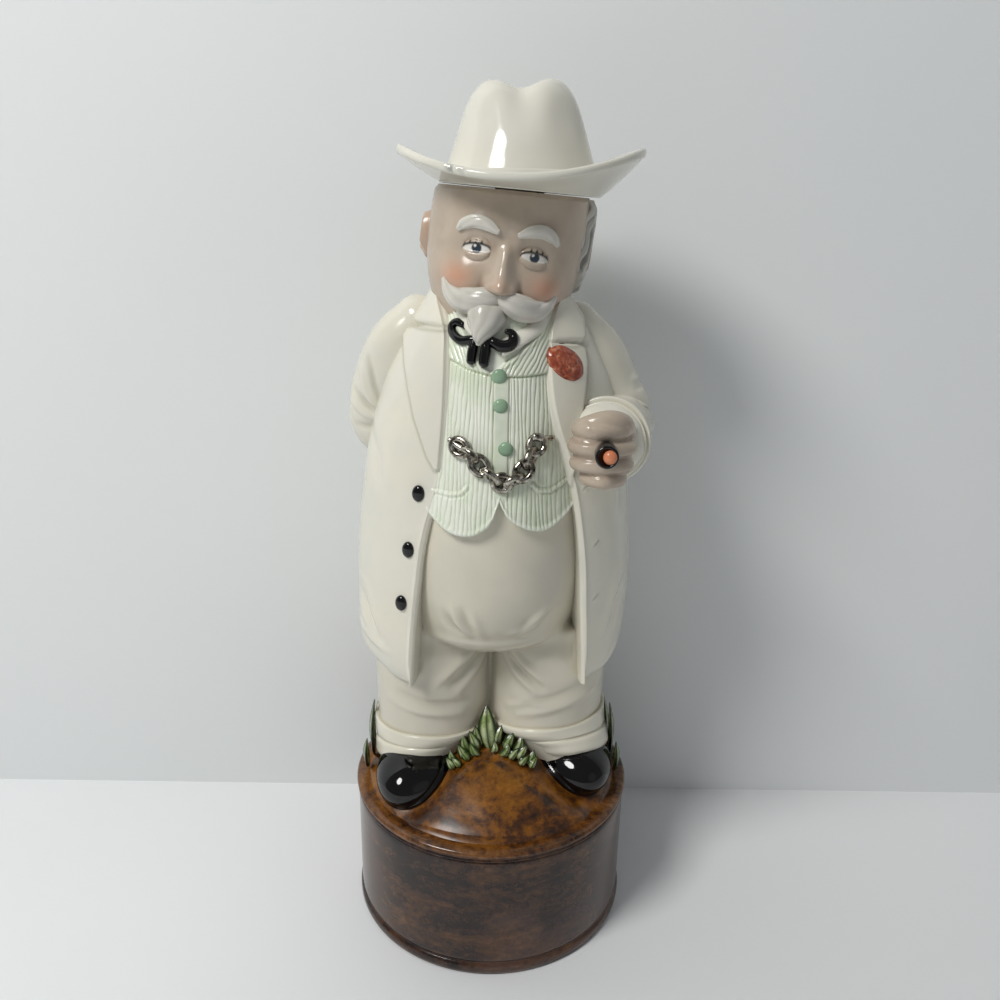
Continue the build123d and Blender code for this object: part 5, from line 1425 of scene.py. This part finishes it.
def hat_place(across, up):
    angle = across * TAU
    c, s = np.cos(angle), np.sin(angle)
    lifted = np.abs(c) ** np.where(c > 0, 1.8, 2.3)
    tip = 4.8 + 9.2 * lifted
    rim = 40.2 - 0.5 * (1 - lifted)
    foot_z = 3.7 + 2.9 * np.abs(c) ** 2
    shares = np.linspace(0, CROWN_END, len(CROWN))
    crown_r = curve(list(zip(shares, [r for r, h in CROWN])), up)
    crown_h = curve(list(zip(shares, [h for r, h in CROWN])), up)
    t = share(up, CROWN_END, BRIM_END)
    fillet = np.exp(-(t / 0.10) ** 1.3)
    brim_r = CROWN_RADIUS + (rim - CROWN_RADIUS) * t ** 0.92
    brim_z = foot_z + (tip - foot_z) * t ** 1.35 + (CROWN_TOP - foot_z) * fillet
    r = np.where(up < CROWN_END, crown_r, brim_r)
    z = np.where(up < CROWN_END, crown_h, brim_z)
    # Round the edge, then back under the brim to the ring.
    turn = share(up, BRIM_END, EDGE_END) * np.pi
    r = np.where(up > BRIM_END, rim + 1.2 * np.sin(turn), r)
    z = np.where(up > BRIM_END, tip - (1.3 + 0.4 * lifted) * (1 - np.cos(turn)), z)
    under = share(up, EDGE_END, UNDER_END)
    slope = math.tan(SEAT_TILT)
    tilt = -slope * 27.2 * c
    ring_r = 27.3
    under_r = rim + (ring_r - rim) * under
    edge_z = tip - 2.6 - 0.8 * lifted
    under_z = edge_z + (tilt + 0.35 - edge_z) * under ** 0.9
    r = np.where(up > EDGE_END, under_r, r)
    z = np.where(up > EDGE_END, under_z, z)
    turn = share(up, UNDER_END, RING_END) * np.pi / 2
    z = np.where(up > UNDER_END, tilt + 0.35 - 0.33 * np.sin(turn), z)
    r = np.where(up > UNDER_END, ring_r - 0.6 * (1 - np.cos(turn)), r)
    x = r * c
    y = r * s * np.where(up < 0.5, 1.03, 1.0)
    seat_r = curve([(0, 26.7), (1, 8.4)], share(up, RING_END, SEAT_END))
    x = np.where(up > RING_END, seat_r * c, x)
    y = np.where(up > RING_END, seat_r * s, y)
    z = np.where(up > RING_END, -slope * x, z)
    plug = share(up, SEAT_END, 1)
    drop = np.interp(plug, *PLUG_DEPTH)
    plug_r = np.interp(plug, *PLUG_RADIUS)
    x = np.where(up > SEAT_END, plug_r * c - drop * math.sin(SEAT_TILT) - 1.2, x)
    y = np.where(up > SEAT_END, plug_r * s, y)
    z = np.where(up > SEAT_END, -slope * plug_r * c - drop, z)
    return HAT[0] + x, HAT[1] + y, HAT[2] + z


def hat_chips(x, y, up):
    chips = sum(np.exp(-(((x - cx) / size / 1.5) ** 2 + ((y - cy) / size) ** 2) ** 2) for cx, cy, size in CHIPS)
    return chips * smooth(0.56, 0.6, up) * smooth(0.71, 0.68, up)


def hat_relief(across, up, p):
    x, y, z = xyz(p - HAT)
    crown = smooth(CROWN_END, 0.30, up)
    crease = bump(x, -0.6, 7.2) * smooth(12, 34, z)
    total = -4.0 * crease * crown
    total = total - 1.1 * crown * bump(np.abs(x), 13.5, 6) * smooth(-6, -20, y) * bump(z, 24, 8)
    total = total + 0.22 * wave(41, 12.0, x, y, z) * smooth(0.84, 0.8, up)
    return total - 0.6 * hat_chips(x, y, up)


def hat_paint(across, up, p):
    chips = hat_chips(p[..., 0] - HAT[0], p[..., 1] - HAT[1], up)
    # Painted shade along the crease where the crown meets the brim.
    return {"hollow": 0.45 * bump(up, 0.375, 0.012), "chip": chips}


hat_recipe = glaze("hat_white_glaze", rough=0.13, ripple=0.22)
hat_tone = hat_recipe.mix(hat_recipe.noise(35.0, 3.0).between(0.35, 0.68), rgb("e2dfd2"), rgb("dcdace"))
# Painted shade along the foot of the crown.
hat_tone = hat_recipe.mix(hat_recipe.amount("hollow"), hat_tone, rgb("c4c2b4"))
hat_recipe.set(Base_Color=hat_recipe.mix(hat_recipe.amount("chip"), hat_tone, rgb("7d7f7e")))
hat = skin(hat_place, 260, 330, hat_relief, True, hat_paint)
finish_piece("hat", hat, "stopper", hat_recipe.material, ["hat_stopper"])


# Shoes: rounded toe caps with a thin sole
# Each shoe: x, y, turn in degrees and height of its middle.
SHOES = {"left_shoe": (-29.0, -14.2, -19.0, 63.8), "right_shoe": (31.6, -7.2, 22.0, 65.8)}


def mound_z(x, y):
    """Height of the mound, with a furrow beside each shoe."""
    radius = (50.5 ** 2 + 21.5 ** 2) / 43.0
    dome = 56.5 + 21.5 - radius + np.sqrt(np.maximum(radius ** 2 - x ** 2 - (y + 3.0) ** 2, 1))
    left = line_distance([(-13, -12), (-17, -24), (-24, -33), (-34, -38)], x, y)[0]
    right = line_distance([(17, -6), (20, -16), (27, -25), (38, -30)], x, y)[0]
    return dome - 3.0 * np.exp(-(left / 6.0) ** 2) - 3.0 * np.exp(-(right / 6.0) ** 2)


def shoe_place(name):
    x0, y0, turn, z0 = SHOES[name]
    a = math.radians(turn)

    def place(across, up):
        angle = across * TAU
        polar = (up - 0.5) * np.pi
        flat = np.cos(polar)
        w = 17.0 * flat * np.cos(angle) * (1 + 0.16 * np.sin(angle))
        d = 23.0 * flat * np.sin(angle)
        h = np.sin(polar)
        z = np.where(h > 0, 13.0 * h, 11.0 * h)
        x = x0 + w * math.cos(a) - d * math.sin(a)
        y = y0 + w * math.sin(a) + d * math.cos(a)
        return x, y, np.maximum(z0 + z, np.maximum(mound_z(x, y), 56.5) - 1.5)
    return place


def shoe_relief(across, up, p):
    x, y, z = xyz(p)
    sole = np.maximum(mound_z(x, y), 56.6) + 2.2
    return -0.45 * bump(z, sole, 0.45) + 0.35 * smooth(0.2, -0.4, z - sole) + 0.1 * wave(51, 7, x, y, z)


for name in SHOES:
    shoe = skin(shoe_place(name), 160, 110, shoe_relief, True)
    finish_piece(name + "_cap", shoe, "decanter", black_glaze, [name])


# Drum: an open tube with a foot bead, a groove above it and the step that the board seats against
drum_line = [(51.0, 0.3), (51.3, 0.0), (54.9, 0.0), (55.6, 0.5), (55.9, 1.4), (55.9, 3.2), (55.6, 4.1),
             (55.0, 4.5), (54.7, 4.9), (54.9, 5.4), (55.2, 5.9)]
drum_line += [(55.25, z) for z in np.linspace(7, 50.4, 30)]
drum_line += [(55.1, 51.2), (54.8, 51.7), (54.3, 51.95), (49.4, 51.95), (49.4, 17.0), (51.0, 17.0)]
drum = spun(drum_line, 220)


def drum_relief(x, y, z, nx, ny, nz):
    outer = smooth(53.5, 54.5, np.hypot(x, y))
    return outer * (0.05 * wave(61, 14.0, x, y, z) + 0.02 * np.sin(z * 2.1 + 0.6 * wave(62, 8.0, x, y)) - 0.03)


drum = carve(drum, drum_relief)
finish_piece("drum", drum, "decanter", drum_glaze, ["drum_base"])


# Ground: the mound, the flat ledge round it and the groove under the ledge
LEDGE_Z = 56.4
# Shares of the grid up: the mound, the ledge and its edge, the wall below it, then the hollow underside
MOUND_END, LEDGE_END, WALL_END = 0.62, 0.74, 0.84
# Shares of each stretch with its radius or its height: the ledge's rounded edge, the wall below it
EDGE_RADIUS = [(0, 50.4), (0.25, 52.2), (0.5, 54.2), (0.7, 55.4), (0.85, 55.88), (1, 55.95)]
EDGE_HEIGHT = [(0, 56.4), (0.25, 56.45), (0.5, 56.4), (0.7, 55.95), (0.85, 55.2), (1, 54.6)]
WALL_RADIUS = [(0, 55.95), (0.10, 55.7), (0.18, 55.1), (0.26, 55.2), (0.4, 55.3), (0.9, 55.25), (0.96, 54.9),
               (1, 54.2)]
WALL_HEIGHT = [(0, 54.6), (0.10, 54.3), (0.18, 54.1), (0.26, 53.9), (0.4, 53.5), (0.9, 52.2), (0.96, 52.07),
               (1, 52.05)]


def ground_place(across, up):
    angle = across * TAU
    t = share(up, 0, MOUND_END)
    r = 50.4 * t
    cx = r * np.cos(angle)
    cy = r * np.sin(angle) - 3.0 * (1 - t ** 8)
    z = mound_z(cx, np.maximum(cy, -60))
    ledge = share(up, MOUND_END, LEDGE_END)
    z = np.where(t >= 1, LEDGE_Z, np.maximum(z, LEDGE_Z))
    wall = share(up, LEDGE_END, WALL_END)
    inside = share(up, WALL_END, 1)
    r2 = np.where(up < LEDGE_END, curve(EDGE_RADIUS, ledge), curve(WALL_RADIUS, wall))
    z2 = np.where(up < LEDGE_END, curve(EDGE_HEIGHT, ledge), curve(WALL_HEIGHT, wall))
    r3 = np.interp(inside, [0, 0.15, 0.25, 0.4, 0.5, 1.0], [54.2, 49.3, 49.3, 45.4, 45.4, 0.0])
    z3 = np.interp(inside, [0, 0.15, 0.25, 0.4, 0.5, 1.0], [52.05, 52.05, 49.0, 49.0, 53.0, 73.0])
    z3 = np.where(inside > 0.5, 73.0 - 20.0 * (r3 / 45.4) ** 2, z3)
    r2 = np.where(up > WALL_END, r3, r2)
    z2 = np.where(up > WALL_END, z3, z2)
    x = np.where(up < MOUND_END, cx, r2 * np.cos(angle))
    y = np.where(up < MOUND_END, cy, r2 * np.sin(angle))
    return x, y, np.where(up < MOUND_END, z, z2)


# Dark furrows that run down from the tuft on both sides of the mound
CRACKS = [[(-1.0, -23.0), (-5.0, -25.6), (-9.4, -28.4), (-12.6, -30.2)],
          [(0.5, -22.6), (6.0, -26.8), (13.0, -31.0), (22.0, -35.6), (31.0, -38.0)]]


def ground_relief(across, up, p):
    x, y = p[..., 0], p[..., 1]
    mound = smooth(0.60, 0.52, up)
    lumps = 0.22 * wave(71, 7.5, x, y) + 0.12 * wave(72, 3.4, x, y)
    crest = 0.0
    for line in CRACKS:
        crest = crest - 0.45 * np.exp(-(line_distance(line, x, y)[0] / 1.6) ** 2)
    edge = 0.05 * wave(73, 9.0, x, y) * smooth(0.83, 0.78, up)
    return mound * (lumps + crest - 0.2) + edge


def ground_paint_amounts(across, up, p):
    x, y = p[..., 0], p[..., 1]
    dark = 0.0
    for line in CRACKS:
        near = line_distance(line, x, y)[0] + 0.9 * wave(77, 2.6, x, y)
        dark = np.maximum(dark, np.exp(-(near / 2.6) ** 2))
    return {"ledge": smooth(0.60, 0.70, up) * (1 - 0.35 * wave(75, 10.0, x, y) * smooth(0.75, 0.7, up)),
            "crack": dark * smooth(0.58, 0.5, up), "wall": smooth(0.775, 0.785, up)}


ground = skin(ground_place, 280, 230, ground_relief, True, ground_paint_amounts, front=None)
finish_piece("ground", ground, "decanter", ground_glaze, ["ground_casting"])


# Leaves
def blade(foot, tip, width, bulge, curl, columns, rows, thickness):
    """A pointed leaf with a raised midrib, closed front and back."""
    foot, tip = np.array(foot, float), np.array(tip, float)
    ahead = tip - foot
    length = np.linalg.norm(ahead)
    ahead = ahead / length
    side = np.cross(ahead, (0.0, 1.0, 0.0))
    side /= np.linalg.norm(side)
    out = np.cross(side, ahead)
    if out[1] > 0:
        out = -out

    def place(across, up):
        angle = across * TAU
        form = width / 2 * np.sin(np.pi * np.clip(up, 0, 1) ** 0.8) ** 0.85 + 0.02
        u = np.cos(angle)
        face = np.sin(angle)
        lift = thickness * face * form / (width / 2) + bulge * np.sin(np.pi * up)
        lift = lift + (0.5 * np.exp(-(u / 0.16) ** 2) - 0.30 * np.abs(u)) * form / (width / 2) * (face > 0)
        sway = curl * np.sin(np.pi * up * 0.9)
        return [foot[a] + ahead[a] * length * up + side[a] * (u * form + sway) + out[a] * lift
                for a in range(3)]

    def tint(across, up, p):
        u = np.abs(np.cos(across * TAU))
        return {"outline": np.clip(smooth(0.42, 0.78, u) + bump(u, 0.0, 0.16) + smooth(0.8, 1.0, up), 0, 1)}
    return skin(place, columns * 2, rows, None, True, tint, front=None)


def ground_at(x, y):
    return float(mound_z(np.array(x, float), np.array(y, float)))


tuft = [blade((-0.4, -17.8, 74.4), (-2.0, -12.4, 92.2), 8.0, 1.6, 0.6, 20, 44, 1.3)]
# Each small leaf: place, how far back it stands, how tall it is, how far it leans and its width.
CURLS = [(-3.6, 2.5, 8.2, -2.6, 3.6), (-5.6, 1.0, 7.4, -3.6, 3.6), (-7.8, 2.0, 6.6, -3.4, 3.4),
         (-10.2, 0.6, 5.8, -3.4, 3.4), (-12.8, 1.4, 4.8, -3.2, 3.2), (-14.6, 0.0, 3.6, -3.4, 3.0),
         (-4.4, -1.4, 4.6, -3.8, 3.2), (-8.8, -1.2, 3.6, -4.0, 3.0), (2.0, 2.6, 7.4, 2.4, 3.4),
         (4.0, 4.4, 11.0, 8.0, 3.4), (5.6, 1.4, 7.2, 3.4, 3.8), (8.4, 2.2, 6.6, 3.2, 3.6),
         (10.8, 0.8, 5.8, 3.4, 3.4), (13.2, 1.2, 4.8, 3.2, 3.2), (15.4, 0.2, 3.8, 2.8, 3.0),
         (3.2, -1.2, 4.4, 3.6, 3.2), (7.2, -1.2, 3.8, 4.0, 3.2), (0.2, -1.6, 3.6, 0.6, 3.0),
         (11.2, -1.0, 3.2, 3.6, 3.0), (-12.0, -1.2, 2.8, -3.8, 2.8)]
for i, (fx, behind, tall, lean, wide) in enumerate(CURLS):
    fy = -17.2 - 0.46 * abs(fx + 1) + behind
    ground_z = ground_at(fx, fy)
    leaf_tip = (fx + lean, fy - 1.2 + 0.8 * (i % 3), ground_z + tall * 1.12)
    tuft.append(blade((fx, fy, ground_z - 1.2), leaf_tip, wide * 1.22, 1.5, 0.9 * (-1) ** i, 12, 26, 1.1))
finish_piece("grass_tuft", joined(tuft), "decanter", leaf_glaze, ["front_leaves"])


def leaf_by_side(side, fx, fy, tx, ty, tz, width):
    """A leaf that faces outwards from the leg."""
    mesh = blade((fy, -fx, 56.8), (ty, -tx, tz), width, 0.8, 0.5, 14, 36, 1.0)
    shape = bmesh.new()
    shape.from_mesh(mesh)
    quarter = Matrix.Rotation(math.radians(90), 3, "Z")
    bmesh.ops.rotate(shape, cent=(0, 0, 0), matrix=quarter, verts=shape.verts)
    if side < 0:
        bmesh.ops.scale(shape, vec=(-1, 1, 1), verts=shape.verts)
        bmesh.ops.recalc_face_normals(shape, faces=shape.faces)
    shape.to_mesh(mesh)
    shape.free()
    return mesh


# Each leaf beside a leg: x and y of its foot, x, y and z of its tip, and its width.
SIDE_LEAVES = ((49.4, 4, 48.2, -2.0, 88.0, 10.5), (50.6, 11, 49.4, 8.0, 82.0, 9.0),
               (50.8, -3, 50.6, -9.0, 74.0, 8.6), (49.4, 18, 48.0, 18.0, 80.0, 7.6),
               (46.0, 25, 45.0, 26.5, 74.0, 7.0))
for side, name, node in ((-1, "left_leaves", "left_leaf"), (1, "right_leaves", "right_leaf")):
    leaves = joined([leaf_by_side(side, *leaf) for leaf in SIDE_LEAVES])
    finish_piece(name, leaves, "decanter", leaf_glaze, [node])

# Pieces that keep their plain shape get their finish here.
hardboard = plain_paint("pressed_hardboard", "6d4a30", "4a3020", 0.7, 0.0, 900.0, 0.12)
brass = plain_paint("worn_brass", "c9a25a", "8d6a32", 0.3, 1.0, 350.0)
steel = plain_paint("plain_steel", "b9bbbc", "7e8082", 0.32, 1.0, 500.0)
zinc = plain_paint("cast_zinc", "8d9092", "65686b", 0.5, 1.0, 260.0, 0.12)
seal_plastic = plain_paint("seal_plastic", "d9d6c8", "c3bfae", 0.42, 0.0, 200.0)
FINISHES = ((hardboard, ["base_board"]), (zinc, ["movement_bedplate", "governor_frame"]),
            (brass, ["spring_housing", "tune_cylinder", "cylinder_wheel", "governor_wheel"]),
            (steel, ["bedplate_screws", "winding_arbor", "winding_key", "tune_comb", "comb_screws",
                     "governor_fly", "stop_pin"]),
            (seal_plastic, ["stopper_seal"]))
for finish, names in FINISHES:
    for name in names:
        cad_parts[name].data.materials.clear()
        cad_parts[name].data.materials.append(finish)


# Floor, wall, camera and light
def plane(name, corners, colours):
    """A flat sheet of the room, which hides nothing from a camera behind it."""
    shape = bmesh.new()
    shape.faces.new([shape.verts.new(c) for c in corners])
    mesh = bpy.data.meshes.new(name)
    shape.to_mesh(mesh)
    shape.free()
    recipe = Recipe(name, Roughness=0.6)
    cloud = recipe.noise(3.0, 2.0).between(0.3, 0.7)
    recipe.set(Base_Color=recipe.mix(cloud, rgb(colours[0]), rgb(colours[1])))
    behind = recipe.node("ShaderNodeNewGeometry", out="Backfacing")
    painted = Signal(recipe, recipe.shader.outputs[0])
    clear = recipe.node("ShaderNodeBsdfTransparent")
    seen = recipe.node("ShaderNodeMixShader", None, {0: behind, 1: painted, 2: clear})
    recipe.feed(recipe.tree.nodes["Material Output"].inputs["Surface"], seen)
    mesh.materials.append(recipe.material)
    piece = bpy.data.objects.new(name, mesh)
    bpy.context.scene.collection.objects.link(piece)


FLOOR_Z, WALL_Y, ROOM = -0.0002, 0.0615, 2
plane("floor", [(-ROOM, -ROOM, FLOOR_Z), (ROOM, -ROOM, FLOOR_Z), (ROOM, ROOM, FLOOR_Z), (-ROOM, ROOM, FLOOR_Z)],
      ("f4f5f6", "eff1f2"))
plane("wall", [(-ROOM, WALL_Y, FLOOR_Z), (ROOM, WALL_Y, FLOOR_Z), (ROOM, WALL_Y, ROOM), (-ROOM, WALL_Y, ROOM)],
      ("eef0f0", "e9ecec"))

camera = bpy.data.cameras.new("camera")
camera.lens = 32.4
camera.sensor_width = 36.0
camera.clip_start = 0.01
view = bpy.data.objects.new("camera", camera)
bpy.context.scene.collection.objects.link(view)
turn = (Matrix.Rotation(math.radians(-0.31), 4, "Z") @ Matrix.Rotation(math.radians(90 - 18.7), 4, "X")
        @ Matrix.Rotation(math.radians(1.0), 4, "Z"))
view.matrix_world = Matrix.Translation((0, -0.3246, 0.2836)) @ turn
bpy.context.scene.camera = view


def lamp(name, place, target, size, watts, colour=(1, 1, 1)):
    light = bpy.data.lights.new(name, "AREA")
    light.shape = "ELLIPSE"
    light.size, light.size_y = size
    light.energy = watts
    light.color = colour
    holder = bpy.data.objects.new(name, light)
    bpy.context.scene.collection.objects.link(holder)
    aim = (Vector(target) - Vector(place)).to_track_quat("-Z", "Y")
    holder.matrix_world = Matrix.LocRotScale(Vector(place), aim, None)


lamp("window", (-0.62, -0.60, 1.05), (0, 0, 0.17), (0.42, 0.42), 9.6, (1.0, 0.99, 0.97))
lamp("fill", (0.9, -1.0, 0.5), (0, 0, 0.15), (0.9, 0.9), 0.25, (0.97, 0.98, 1.0))
world = bpy.data.worlds.new("room")
bpy.context.scene.world = world
world.use_nodes = True
world.node_tree.nodes["Background"].inputs[0].default_value = (0.92, 0.95, 1.0, 1.0)
world.node_tree.nodes["Background"].inputs[1].default_value = 0.19
bpy.context.scene.view_settings.view_transform = "Standard"
